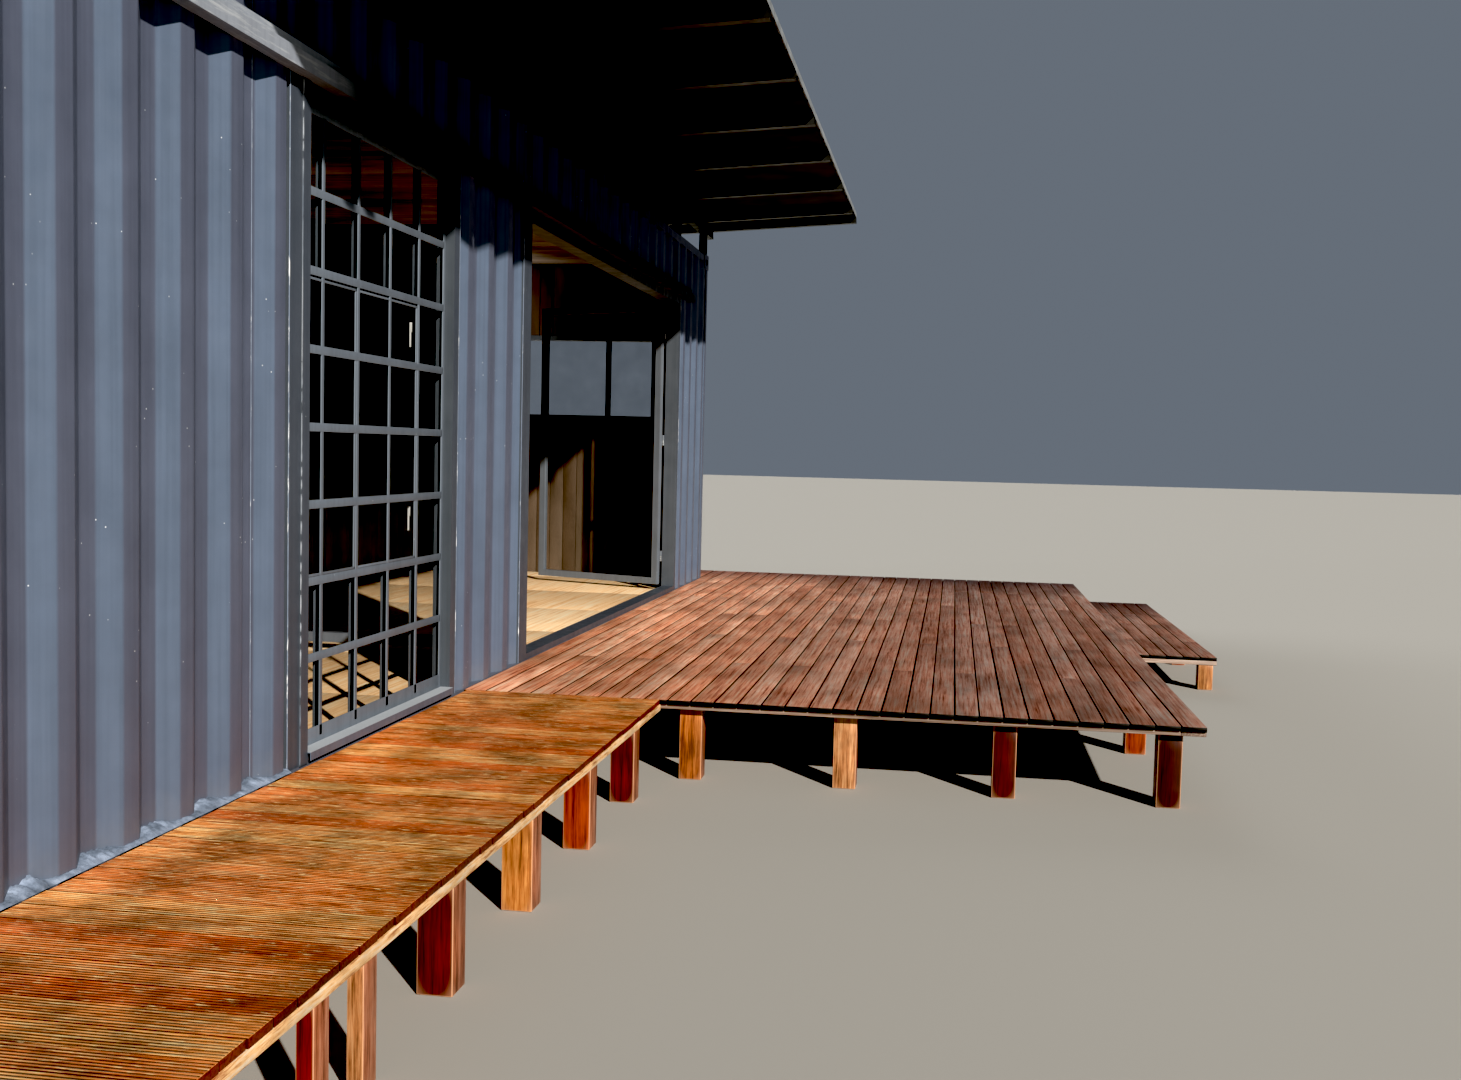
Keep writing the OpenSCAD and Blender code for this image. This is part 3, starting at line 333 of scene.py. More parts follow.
def lay(name, pattern, axis, spots, finish, play=0.0, tones=()):
    """Copies a modelled board to each spot (its low corner, and its length along the axis in mm),
    gives each copy a tone and a little play of its own, and joins the copies into one piece."""
    base = [min(v.co[i] for v in pattern.data.vertices) for i in range(3)]
    full = max(v.co[axis] for v in pattern.data.vertices) - base[axis]
    side = 1 if axis == 0 else 0
    copies = []
    for k, (low, length_mm) in enumerate(spots):
        mesh = pattern.data.copy()
        length = length_mm / 1000
        shift = Vector([low[i] - base[i] for i in range(3)])
        lift = chance.uniform(-play, 0)
        bow = chance.uniform(-play, play)
        for v in mesh.vertices:
            along = v.co[axis] - base[axis]
            part = along / full - 0.5
            eased_end = min(along, full - along) < 0.02
            if eased_end:
                v.co[axis] += length - full if part > 0 else 0
            else:
                v.co[axis] = base[axis] + along * length / full
            v.co += shift
            v.co.z += lift * (1 - 3 * part * part)
            v.co[side] += bow * (1 - 4 * part * part)
        tone = mesh.attributes.new("tone", "FLOAT", "POINT")
        own_tone = tones[k] if k < len(tones) else chance.random()
        tone.data.foreach_set("value", [own_tone] * len(mesh.vertices))
        copy = bpy.data.objects.new(name, mesh)
        bpy.context.scene.collection.objects.link(copy)
        copies.append(copy)
    bpy.data.objects.remove(pattern)
    return hand_in(joined(copies), name, finish)


# Creosoted oak: near black in the grain, grey-brown where it has dried out
OAK = ("#1d150e", "#43352a", "#7a6850")
sleeper_oak_x = timber("creosoted_oak_lengthwise", "x", OAK, 9, 260, 0.75)
sleeper_oak_y = timber("creosoted_oak_crosswise", "y", OAK, 9, 260, 0.75)
BLOCK, SLEEPER, LAYER = 350, 168, 101
PACKER_X, PACKER_Y, PACKER_L, PACKER_W = 40, 90, 270, 170
FAR_END = reach("corner_castings", "x")[1]
front_y, back_y = reach("corner_castings", "y")
rail_back = reach("bottom_rails", "y")[1]
corner_top, rail_top = reach("corner_castings", "z")[0], reach("bottom_rails", "z")[0]
stacks = [(x, y, corner_top) for x in (0, FAR_END - BLOCK) for y in (front_y, back_y - BLOCK)]
stacks += [(x - BLOCK / 2, y, rail_top) for x in (FAR_END / 3, FAR_END * 2 / 3)
           for y in (0, rail_back - BLOCK)]
lower, upper = [], []
for x, y, top in stacks:
    for k in (0, BLOCK - SLEEPER):
        lower.append((place(x, y + k, 0), BLOCK))
        upper.append((place(x + k, y, top - LAYER), BLOCK))
sleeper = board(place(0, 0, 0), place(BLOCK, SLEEPER, corner_top - LAYER), 0.006, 3)
low_sleepers = lay("sleepers_lower", sleeper, 0, lower, sleeper_oak_x)
sleeper = board(place(0, 0, 0), place(SLEEPER, BLOCK, LAYER), 0.006, 3)
top_sleepers = lay("sleepers_upper", sleeper, 1, upper, sleeper_oak_y)
packers = [(place(x + PACKER_X, y + PACKER_Y, corner_top - LAYER), PACKER_L) for x, y, top in stacks
           if top == rail_top]
shim = board(place(0, 0, 0), place(PACKER_L, PACKER_W, rail_top - corner_top), 0.002)
shims = lay("sleeper_packers", shim, 0, packers, sleeper_oak_x)
for piece in (low_sleepers, top_sleepers, shims):
    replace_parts(piece, "footings")


# Container frame. The welded frame of a high-cube container: pressed rails, square hollow posts and
# cast corner fittings, sprayed with slate enamel, over cross members in black underbody paint.
def dress(finish, *names):
    """Gives a finish to CAD nodes that keep their own shape."""
    for name in names:
        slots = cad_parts[name].data.materials
        slots.clear()
        slots.append(finish)


def enamel(name, shade, lit_side_colour, chips=0.0, dust=0.0, peel=0.00012, scuffs=0.0):
    """Satin enamel sprayed on steel: slightly mottled, and lighter on the faces that look towards -x,
    where the key light falls, as painted light. It has rain streaks down it, small chips to the pale
    primer, scuffs and dust at its foot."""
    finish, tree, shader = new_finish(name)
    spot = where(tree)
    # Painted light: faces that look towards -x, where the key light falls, take the lighter second
    # colour
    painted_lit_side = ranged(tree, measure(tree, "X", "Normal"), -0.05, -0.45)
    paint = blend(tree, painted_lit_side, colour(shade), colour(lit_side_colour))
    cloud = clouds(tree, spot, 4.5, 5, 0.6)
    paint = multiply(tree, paint, ramp(tree, cloud, (0.3, 0.84), (0.7, 1.0)))
    rain = clouds(tree, stretch(tree, spot, (55, 55, 0.9)), 1.0, 3)
    paint = multiply(tree, paint, ramp(tree, rain, (0.35, 0.86), (0.6, 1.0)), 0.8)
    if scuffs:
        rub = clouds(tree, stretch(tree, spot, (5, 70, 70)), 1.0, 6, 0.7)
        rub = ranged(tree, rub, 0.52, 0.64, 0.0, scuffs)
        paint = blend(tree, rub, paint, colour("#b3b7bb"))
    if chips:
        cell = add(tree, "TexVoronoi", {"Vector": spot, "Scale": 22.0, "Randomness": 1.0})
        fleck = ranged(tree, cell.outputs["Distance"], 0.055, 0.035)
        crowd = ranged(tree, clouds(tree, spot, 2.6, 2), 0.62 - chips, 0.66 - chips)
        paint = blend(tree, sum_of(tree, "MULTIPLY", "Math", fleck, crowd), paint, colour("#c4c8cc"))
    if dust:
        ragged = clouds(tree, spot, 30.0, 4)
        high = sum_of(tree, "MULTIPLY_ADD", "Math", ragged, 0.10, measure(tree, "Z"))
        foot = ranged(tree, high, 0.40, 0.52, dust, 0.0)
        paint = blend(tree, foot, paint, colour("#8d8577"))
    skin = bumps(tree, clouds(tree, spot, 260.0, 2), 0.25, peel)
    dents = bumps(tree, clouds(tree, spot, 3.2, 1), 0.5, 0.012, skin)
    gloss = ranged(tree, clouds(tree, spot, 14.0, 3), 0.3, 0.7, 0.38, 0.52)
    plug(tree, shader, {"Base Color": paint, "Roughness": gloss, "Normal": dents, "IOR": 1.5})
    return finish


# Alkyd enamel in slate blue-grey, rolled on weathering steel, with painted light on its -x faces
slate_enamel = enamel("slate_enamel_on_steel", "#5d6374", "#5d6a7d", 0.10, 0.12)
dress(slate_enamel, "bottom_rails", "corner_posts", "corner_castings", "top_rails", "end_rails")
# Bitumen underbody paint: dull black, dusty
underbody_paint = enamel("bitumen_underbody_paint", "#1c1c1d", "#242424", peel=0.0004)
dress(underbody_paint, "cross_members")


# Container floor. Marine plywood sheets of 28 mm, screwed down on the cross members with narrow
# open joints. The sheets are as wide as the room, and worn pale.
floor_ply = timber("marine_plywood", "x", ("#dbad7e", "#ffdaab", "#fff0cf"), 26, 900, 0.6, 0.12,
                   ("#e6ddd5", "#ffffff"))
SHEET, JOINT = 1160, 3
FLOOR, FLOOR_Y, FLOOR_Z = reaches("floor_boards")
DECK_TOP = FLOOR_Z[1]
sheets = []
x = FLOOR[0]
while x < FLOOR[1]:
    sheets.append((place(x, FLOOR_Y[0], FLOOR_Z[0]), min(SHEET, FLOOR[1] - x) - JOINT))
    x += SHEET
sheet = board(place(0, FLOOR_Y[0], FLOOR_Z[0]), place(SHEET - JOINT, FLOOR_Y[1], DECK_TOP), 0.001)
floor_sheets = lay("floor_plywood_sheets", sheet, 0, sheets, floor_ply)
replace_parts(floor_sheets, "floor_boards")


# Corrugated walls. Weathering steel of 2 mm, pressed into flat-topped waves with soft bends, and
# welded to the rails and posts all round. The sheet stops at the frames of the openings.
WAVE, OUTER, SLOPE, INNER, DEPTH = 278, 72, 68, 70, 36
GAUGE, BEND, NEAR_PHASE, FAR_PHASE = 2, 5, 194, 46


def modify(piece, name, kind, **settings):
    """Changes the active piece by a modifier, and keeps the outcome as its mesh."""
    change = piece.modifiers.new(name, kind)
    for key, value in settings.items():
        setattr(change, key, value)
    bpy.ops.object.modifier_apply(modifier=change.name)


def pressed_sheet(name, node, phase, at_back=False):
    """One length of wall: a single wave is drawn, repeated, cut to length, bent and thickened."""
    x, z = reach(node, "x"), reach(node, "z")
    first = phase + WAVE * ((x[0] - phase) // WAVE)
    deselect()
    centre = place(first + OUTER / 2, 0, (z[0] + z[1]) / 2)
    bpy.ops.mesh.primitive_plane_add(size=1, location=centre, rotation=(radians(90), 0, 0))
    piece = bpy.context.object
    piece.scale = (OUTER / 1000, (z[1] - z[0]) / 1000, 1)
    settle()
    edit("EDGE")
    for run, back in ((SLOPE, DEPTH), (INNER, 0), (SLOPE, -DEPTH)):
        edge = max(v.co.x for v in bmesh.from_edit_mesh(piece.data).verts) - 1e-4
        pick(piece, "edges", lambda e, m: m.x > edge)
        push(run / 1000, back / 1000, 0)
    close()
    modify(piece, "waves", "ARRAY", count=int((x[1] - first) // WAVE) + 1,
           use_relative_offset=False, use_constant_offset=True,
           constant_offset_displace=(WAVE / 1000, 0, 0), use_merge_vertices=True,
           merge_threshold=0.0005)
    edit("EDGE")
    for spot, way in ((x[0], -1), (x[1], 1)):
        bpy.ops.mesh.select_all(action="SELECT")
        bpy.ops.mesh.bisect(plane_co=place(spot, 0, 0), plane_no=(way, 0, 0), clear_outer=True)
    pick(piece, "edges", lambda e, m: len(e.link_faces) == 2 and e.calc_face_angle() > 0.1)
    bpy.ops.mesh.bevel(offset=BEND / 1000, segments=3, affect="EDGES")
    if at_back:
        bpy.ops.mesh.select_all(action="SELECT")
        middle = place(0, rail_back / 2, 0)
        bpy.ops.transform.resize(value=(1, -1, 1), center_override=middle)
        bpy.ops.mesh.flip_normals()
    close()
    modify(piece, "gauge", "SOLIDIFY", thickness=GAUGE / 1000, offset=-1)
    smooth(25)
    hand_in(piece, name, slate_enamel)
    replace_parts(piece, node)


pressed_sheet("near_wall_sheet", "front_wall_near", NEAR_PHASE)
pressed_sheet("pier_wall_sheet", "front_wall_middle", FAR_PHASE)
pressed_sheet("far_wall_sheet", "front_wall_far", FAR_PHASE)
pressed_sheet("head_wall_sheet", "front_wall_head", FAR_PHASE)
pressed_sheet("back_wall_sheet", "back_wall", FAR_PHASE, at_back=True)
dress(slate_enamel, "end_wall", "container_roof", "cargo_doors")


# Weld seams. One upright bead joins two sheets of the near wall, and beads of seam sealer close the
# sheets' cut edges at the frames. The paint has chipped off them in streaks, down to the pale sealer.
def bead(x, y, z, radius):
    """An upright bead, uneven as it was laid: a thin cylinder whose rings are squeezed."""
    deselect()
    centre = place(x, y, (z[0] + z[1]) / 2)
    bpy.ops.mesh.primitive_cylinder_add(vertices=10, radius=radius / 1000,
                                        depth=(z[1] - z[0]) / 1000, location=centre)
    piece = bpy.context.object
    settle()
    edit("EDGE")
    divide(piece, 2, 140, 0.1)
    close()
    for v in piece.data.vertices:
        swell = 1 + 0.35 * noise.noise(Vector((x, v.co.z * 45, 0)))
        v.co.x = centre.x + (v.co.x - centre.x) * swell
        v.co.y = centre.y + (v.co.y - centre.y) * swell
    smooth(60)
    return piece


def mottled(name, low, high, grain, rough, metal=0.0, pull=None):
    """A finish whose colour wanders between two stops of a ramp. `grain` is the noise's scale,
    detail and roughness, and `pull` draws it out."""
    finish, tree, shader = new_finish(name)
    spot = stretch(tree, where(tree), pull) if pull else where(tree)
    shades = ramp(tree, clouds(tree, spot, *grain), low, high)
    plug(tree, shader, {"Base Color": shades, "Roughness": rough, "Metallic": metal})
    return finish


chipped_sealer = mottled("chipped_paint_on_seam_sealer", (0.56, "#6c7787"), (0.64, "#dfe2e4"),
                         (1.0, 6, 0.7), 0.6, pull=(90, 90, 9))
WALL_Z, HEAD_Z = reach("front_wall_near", "z"), reach("front_wall_middle", "z")[1]
PIER, FAR_WALL = reach("front_wall_middle", "x"), reach("front_wall_far", "x")
WINDOW_X = reach("front_wall_near", "x")[1]
SHEET_JOINT, WELD_R, SEALER_R, HIGHLIGHT_R, HIGHLIGHT_IN = 4279, 2.5, 2.4, 2.2, 2
beads = [bead(SHEET_JOINT, DEPTH + 1, WALL_Z, WELD_R)]
beads += [bead(x, 1, (DECK_TOP, HEAD_Z), SEALER_R)
          for x in (WINDOW_X, PIER[0], PIER[1], FAR_WALL[0])]
hand_in(joined(beads), "seam_beads", chipped_sealer)
# A painted highlight along a sharp steel edge of the jamb: a light line, brighter in streaks
painted_edge_highlight = mottled("edge_highlight_enamel", (0.38, "#76818f"), (0.62, "#c3c9cf"), (1.0, 6), 0.38,
                      pull=(20, 20, 1.6))
COVER_X, COVER_Y = 4545, reach("window_frame", "y")[0]
hand_in(bead(COVER_X + HIGHLIGHT_IN, COVER_Y + HIGHLIGHT_IN, (DECK_TOP, HEAD_Z), HIGHLIGHT_R),
        "jamb_edge_highlight", painted_edge_highlight)


# Cargo doors. The container's own doors at the closed end keep their zinc-plated lock rods, and a
# black rubber gasket is pressed round the edge of each leaf.
zinc, tree, shader = new_finish("zinc_plated_steel")
spangle = add(tree, "TexVoronoi", {"Vector": where(tree), "Scale": 120.0}).outputs["Color"]
plug(tree, shader, {"Base Color": ramp(tree, spangle, (0.2, "#8f9497"), (0.8, "#b4b8ba")),
                    "Metallic": 0.85, "Roughness": 0.42})
dress(zinc, "cargo_door_rods", "door_hinges")
# Ozone-dulled EPDM rubber: charcoal, matt, dusty in its pores
gasket_rubber = mottled("epdm_rubber_gasket", (0.35, "#141414"), (0.7, "#2b2a29"), (35.0, 5), 0.8)
LIP, PROUD, TUCKED_IN, SIDE_PLAY, MIDDLE_PLAY, UPRIGHT_L, LEVEL_L = 16, 3, 2, 4, 5, 2500, 1000
cargo_x, cargo_y, cargo_z = reaches("cargo_doors")
middle_y, tall = sum(cargo_y) / 2, cargo_z[1] - cargo_z[0]
leaf_sides = ((cargo_y[0] + SIDE_PLAY, middle_y - MIDDLE_PLAY),
              (middle_y + MIDDLE_PLAY, cargo_y[1] - SIDE_PLAY))
uprights = [(place(cargo_x[0] - PROUD, y, cargo_z[0]), tall) for near, far in leaf_sides
            for y in (near, far - LIP)]
strip = board(place(0, 0, 0), place(PROUD + TUCKED_IN, LIP, UPRIGHT_L), 0.001)
lay("cargo_door_gaskets_upright", strip, 2, uprights, gasket_rubber)
rails = [(place(cargo_x[0] - PROUD, near, z), far - near) for near, far in leaf_sides
         for z in (cargo_z[0], cargo_z[1] - LIP)]
strip = board(place(0, 0, 0), place(PROUD + TUCKED_IN, LEVEL_L, LIP), 0.001)
lay("cargo_door_gaskets_level", strip, 1, rails, gasket_rubber)


# Mortar at the wall's foot. Cement mortar is trowelled along the foot of the near wall: a narrow
# strip beside the boards, and a rough lump in each fold of the sheet. It keeps the rain out.
def fold_depth(x, phase, outer, slope, inner, depth):
    """How far a pressed sheet lies from its outer flats at a place along it, in mm."""
    u = (x - phase) % (outer + 2 * slope + inner)
    if u < outer:
        return 0
    if u < outer + slope:
        return depth * (u - outer) / slope
    if u < outer + slope + inner:
        return depth
    return depth * (1 - (u - outer - slope - inner) / slope)


# Cement mortar: blue-grey, rough with sand, darker where it is damp
mortar_paste, tree, shader = new_finish("cement_mortar")
spot = where(tree)
damp = clouds(tree, spot, 18.0, 5, 0.65)
grit = bumps(tree, clouds(tree, spot, 420.0, 4), 0.7, 0.0012)
shades = ramp(tree, damp, (0.32, "#4f5967"), (0.5, "#748092"), (0.68, "#9aa7bb"))
plug(tree, shader, {"Base Color": shades, "Roughness": 0.9,
                    "Normal": bumps(tree, damp, 0.7, 0.006, grit)})
STRIP_STEPS, PROFILE, STRIP_OUT, STRIP_T, STRIP_FROM = 760, 7, 17, 12, 80
HEAP, HEAP_PLAY, LUMP, LUMP_PLAY = 8, 4, 12, 9
strip_x = (STRIP_FROM, WINDOW_X - 2)
deselect()
bpy.ops.mesh.primitive_grid_add(x_subdivisions=STRIP_STEPS, y_subdivisions=PROFILE, size=1)
mortar = bpy.context.object
for v in mortar.data.vertices:
    x = strip_x[0] + (v.co.x + 0.5) * (strip_x[1] - strip_x[0])
    part = v.co.y + 0.5
    deep = fold_depth(x, NEAR_PHASE, OUTER, SLOPE, INNER, DEPTH)
    ragged = noise.noise(Vector((x / 40, 3, 0))) + 0.5 * noise.noise(Vector((x / 13, 9, 0)))
    heap = HEAP + HEAP_PLAY * ragged + (LUMP + LUMP_PLAY * ragged) * (deep / DEPTH) ** 1.5
    y = -STRIP_OUT + part * (deep + STRIP_OUT)
    rise = max(heap * (part * (2 - part)) ** 0.8, 0)
    grainy = 1 + 0.25 * noise.noise(Vector((x / 9, y / 9, 1)))
    v.co = place(x, y, DECK_TOP + 1 + rise * grainy)
modify(mortar, "body", "SOLIDIFY", thickness=STRIP_T / 1000, offset=-1)
smooth(60)
hand_in(mortar, "wall_foot_mortar", mortar_paste)


# Lining. Planed pine: matchboards across the ceiling and upright boards on the far end wall, nailed
# to battens. The ceiling is pale, and the end wall was stained brown.
ceiling_pine = timber("varnished_pine_ceiling", "y", ("#817770", "#b0a59c", "#cac1b8"), 10, 500, 0.5)
end_pine = timber("stained_pine_end_wall", "z", ("#5a4c42", "#7a6c5f", "#938679"), 10, 500, 0.5, 0.3)
CEIL_PITCH, CEIL_JOINT, END_PITCH, END_JOINT, END_BOARDS = 205, 6, 117.4, 3, 20
room_x, room_y, ceil_z = reaches("ceiling_lining")
room_w = room_y[1] - room_y[0]
CEIL_T = ceil_z[1] - ceil_z[0] - 1
ceil_boards = int((room_x[1] - room_x[0]) // CEIL_PITCH)
spots = [(place(room_x[0] + k * CEIL_PITCH, room_y[0], ceil_z[0]), room_w)
         for k in range(ceil_boards)]
strip = board(place(0, room_y[0], ceil_z[0]),
              place(CEIL_PITCH - CEIL_JOINT, room_y[1], ceil_z[0] + CEIL_T), 0.006)
ceiling = lay("ceiling_matchboards", strip, 1, spots, ceiling_pine)
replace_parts(ceiling, "ceiling_lining")
end_x, end_z = reach("end_lining", "x"), reach("end_lining", "z")
spots = [(place(end_x[0], room_y[0] + k * END_PITCH, end_z[0]), end_z[1] - end_z[0])
         for k in range(END_BOARDS)]
strip = board(place(end_x[0], 0, end_z[0]), place(end_x[1], END_PITCH - END_JOINT, end_z[1]), 0.003)
end_boards = lay("end_wall_boards", strip, 2, spots, end_pine)
hole_low, hole_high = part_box("end_window_frame")
deselect()
bpy.ops.mesh.primitive_cube_add(size=1, location=(hole_low + hole_high) / 2,
                                scale=hole_high - hole_low)
cutter = bpy.context.object
deselect()
bpy.context.view_layer.objects.active = end_boards
modify(end_boards, "window_hole", "BOOLEAN", object=cutter, solver="EXACT")
bpy.data.objects.remove(cutter)
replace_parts(end_boards, "end_lining")


# Window and doorway. Welded steel frames in the slate enamel, glazed with float glass. The window's
# bars stand in front of its panes, its sill is folded sheet, and the lintel's edges are scuffed.
# Slate enamel, brushed on before the frames were set: darker than the wall's, and hardly lighter where
# the key light falls
frame_enamel = enamel("brushed_slate_enamel_on_frames", "#4b515b", "#4c5259", 0.04)
dress(frame_enamel, "window_frame", "end_window_frame", "door_frame")
leaf_enamel = enamel("brushed_slate_enamel_on_leaves", "#5a5e66", "#6a7179", 0.04)
dress(leaf_enamel, "door_leaf", "folded_leaves")
# The grille's flanges are a paler grey. Behind the panes its webs are darkened nearly to black, and
# their inner edge only a little, as a thin line
grille_enamel = enamel("enamel_with_darkened_webs_on_grille", "#676f79", "#76808b", 0.04)
GRILLE_X, GRILLE_Y, GRILLE_Z = reaches("window_grille")
FLANGE, DARK_WEB = 6.5, 15


def opened(finish):
    """A made finish's tree and shader, and what colours it so far."""
    tree = finish.node_tree
    shader = tree.nodes["Principled BSDF"]
    return tree, shader, shader.inputs["Base Color"].links[0].from_socket


tree, shader, paint = opened(grille_enamel)
depth = ranged(tree, measure(tree, "Y"), place(0, GRILLE_Y[0], 0).y, place(0, GRILLE_Y[1], 0).y)
web_at, edge_at = (part / (GRILLE_Y[1] - GRILLE_Y[0]) for part in (FLANGE, FLANGE + DARK_WEB))
web_darkening = ramp(tree, depth, (0.0, 1.0), (web_at, 0.02), (edge_at, 0.6), step=True)
plug(tree, shader, {"Base Color": multiply(tree, paint, web_darkening)})


def weld(name, bars, finish, node):
    """Flat steel bars, each given by its reach along x, y and z in mm, welded into one piece that
    takes the place of a node."""
    made = [board(place(x[0], y[0], z[0]), place(x[1], y[1], z[1]), 0.0008) for x, y, z in bars]
    joined(made)
    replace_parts(hand_in(bpy.context.object, name, finish), node)


def both_ways(middle, wide):
    """A reach of a given width about its middle."""
    return (middle - wide / 2, middle + wide / 2)


# Five columns by eight rows. Tee bars divide the fixed panes, and two casements, each two columns
# wide and four rows high, close against them with a shadow gap at their top and at their free side
COLUMNS, ROWS, BAR_T, WEB_T, BAR_W, BAR_H, EDGE_W, FOOT_H, LAP = 5, 8, 5, 4, 20, 30, 25, 57, 0.3
CASEMENT_LOW, CASEMENT_TOP, CASEMENT_W, TOP_GAP, SIDE_GAP, LOW_GAP, REBATE = 2, 6, 9, 7, 6, 1, 8
INSET, FOOT_UNDER, SET_IN, STAND_IN, HINGE_LAP, HINGE_OFF = 20, 5, 1, 1.4, 2, 8
front, back = GRILLE_Y
behind = front + BAR_T
pane_w = (GRILLE_X[1] - GRILLE_X[0]) / COLUMNS
upright_x = [GRILLE_X[0] + k * pane_w for k in range(1, COLUMNS)]
first_bar = GRILLE_Z[0] + FOOT_H - BAR_H / 2 - FOOT_UNDER
bar_z = [first_bar + row * (GRILLE_Z[1] - BAR_H / 2 - first_bar) / ROWS for row in range(ROWS)]
face, lapped = (front, behind), (front + LAP, behind)
web, rebate = (behind - 1, back), (behind - 1, behind + REBATE)
inner_x, inner_z = ((ends[0] + INSET, ends[1] - INSET) for ends in (GRILLE_X, GRILLE_Z))
low_z, top_z = (GRILLE_Z[0], bar_z[CASEMENT_LOW]), (bar_z[CASEMENT_TOP], GRILLE_Z[1])
bars = [((GRILLE_X[0], GRILLE_X[0] + EDGE_W), face, GRILLE_Z),
        ((GRILLE_X[1] - EDGE_W, GRILLE_X[1]), face, GRILLE_Z),
        (inner_x, lapped, (GRILLE_Z[0], GRILLE_Z[0] + FOOT_H)),
        (inner_x, lapped, (GRILLE_Z[1] - EDGE_W, GRILLE_Z[1]))]
for x in upright_x:
    bars.append((both_ways(x, BAR_W), lapped, inner_z))
    bars.append((both_ways(x, WEB_T), rebate, (low_z[1], top_z[0])))
    bars += [(both_ways(x, WEB_T), web, z) for z in (low_z, top_z)]
for z in bar_z[1:]:
    bars.append((inner_x, face, both_ways(z, BAR_H)))
    bars.append((inner_x, web, both_ways(z, WEB_T)))
ring_z = (low_z[1] + BAR_H / 2 + LOW_GAP, top_z[0] - BAR_H / 2 - TOP_GAP)
stile = (front + SET_IN, behind + STAND_IN)
for hinge_x, free in ((GRILLE_X[0] + EDGE_W - HINGE_LAP, upright_x[1]),
                      (upright_x[1] + HINGE_OFF, upright_x[3])):
    free_x = free - BAR_W / 2 - SIDE_GAP
    bars += [((free_x - CASEMENT_W, free_x), stile, ring_z),
             ((hinge_x, free_x - 1), stile, (ring_z[1] - CASEMENT_W, ring_z[1])),
             ((hinge_x, free_x - 1), stile, (ring_z[0], ring_z[0] + CASEMENT_W))]
weld("window_bars_and_casements", bars, grille_enamel, "window_grille")
# The lintel's near end stands out in the rain and is scuffed pale. Past it the roof's shade is painted
# on
scuffed_lintel = enamel("scuffed_enamel_on_lintel", "#979da7", "#b9c1cc", 0.12, scuffs=0.8)
tree, shader, paint = opened(scuffed_lintel)
near_end = place(WINDOW_X, 0, 0).x
roof_shade_on_lintel = ranged(tree, measure(tree, "X"), near_end, near_end + 0.5)
paint = blend(tree, roof_shade_on_lintel, paint, multiply(tree, paint, colour("#737679")))
plug(tree, shader, {"Base Color": paint})
dress(scuffed_lintel, "lintel")
# The flashing's top faces are painted pale as painted light, and its face keeps the slate enamel
flashing_enamel = enamel("slate_enamel_painted_pale_on_top_of_flashing", "#5d6472", "#667284")
tree, shader, paint = opened(flashing_enamel)
lies = ranged(tree, measure(tree, "Z", "Normal"), 0.4, 0.7, 0.0, 0.85)
plug(tree, shader, {"Base Color": blend(tree, lies, paint, colour("#b9bec3"))})
dress(flashing_enamel, "window_sill")
# Float glass: clear, with a faint green body and a thin film of dust
float_glass, tree, shader = new_finish("float_glass")
film = ranged(tree, clouds(tree, where(tree), 6.0, 6), 0.3, 0.8, 0.05, 0.11)
plug(tree, shader, {"Base Color": colour("#161c1d"), "Alpha": film, "Roughness": 0.04, "IOR": 1.52})
dress(float_glass, "window_glass", "door_glass", "folded_glass", "end_window_glass")
# Lacquered zinc casting: pale grey and smooth
latch_lacquer, tree, shader = new_finish("lacquered_zinc_casting")
plug(tree, shader, {"Base Color": colour("#d2d2ce"), "Roughness": 0.35})
LATCH_Y, LATCH_Z = reach("window_latches", "y"), reach("window_latches", "z")
LEVER_W, LEVER_D, LEVER_L, PLATE_OVER, PLATE_T, PLATE_H = 6, 6, 100, 3, 3, 40
lever_y = (LATCH_Y[0] + PLATE_T, LATCH_Y[0] + PLATE_T + LEVER_D)
plate_y = (LATCH_Y[0], LATCH_Y[0] + PLATE_T + 1)
latch_bars = []
for low in (LATCH_Z[0], LATCH_Z[1] - LEVER_L):
    latch_bars += [(both_ways(upright_x[3], LEVER_W), lever_y, (low, low + LEVER_L)),
                   (both_ways(upright_x[3], LEVER_W + PLATE_OVER), plate_y,
                    both_ways(low + LEVER_L - PLATE_H / 2, PLATE_H))]
weld("window_latch_levers", latch_bars, latch_lacquer, "window_latches")


# Raised roof. A low mono-pitch roof on short posts welded to the container: square tubes in black
# enamel and ribbed sheets, dark below, screwed down through washers and edged with folded zinc.
black_enamel = enamel("black_enamel_on_tube", "#0d0e10", "#131416")
roof_coat = enamel("dark_coated_roof_sheet", "#55585c", "#5c5f63")
dress(black_enamel, "roof_posts", "roof_long_beams", "roof_cross_beams")
dress(roof_coat, "roof_sheets")
# Zinc coating that has stood in the rain: pale, matt, hardly metallic any more
weathered_zinc = mottled("weathered_zinc_coating", (0.35, "#7b7f82"), (0.65, "#9b9fa2"),
                         (9.0, 6, 0.7), 0.55, 0.3)
dress(weathered_zinc, "roof_edge_trim")
PITCH_ANGLE = radians(3.4)
RIB_PAN, RIB_SLOPE, RIB_CREST, RIB_H, SHEET_T = 186, 19, 28, 28, 0.8
FIRST_PAN, FIRST_BEAM, BEAM_PITCH, BEAM, EAVE, REAR = 60, 548, 1045, 60, 1240, 2726
roof_x, roof_top = reach("roof_sheets", "x"), reach("roof_sheets", "z")[1]
sheet_zero = roof_top - EAVE * sin(PITCH_ANGLE) - (RIB_H + SHEET_T) * cos(PITCH_ANGLE)


def on_roof(x, y, z):
    """A point on the sloping sheets, by its distances along them and above their underside."""
    return place(x, y * cos(PITCH_ANGLE) + z * sin(PITCH_ANGLE),
                 sheet_zero - y * sin(PITCH_ANGLE) + z * cos(PITCH_ANGLE))


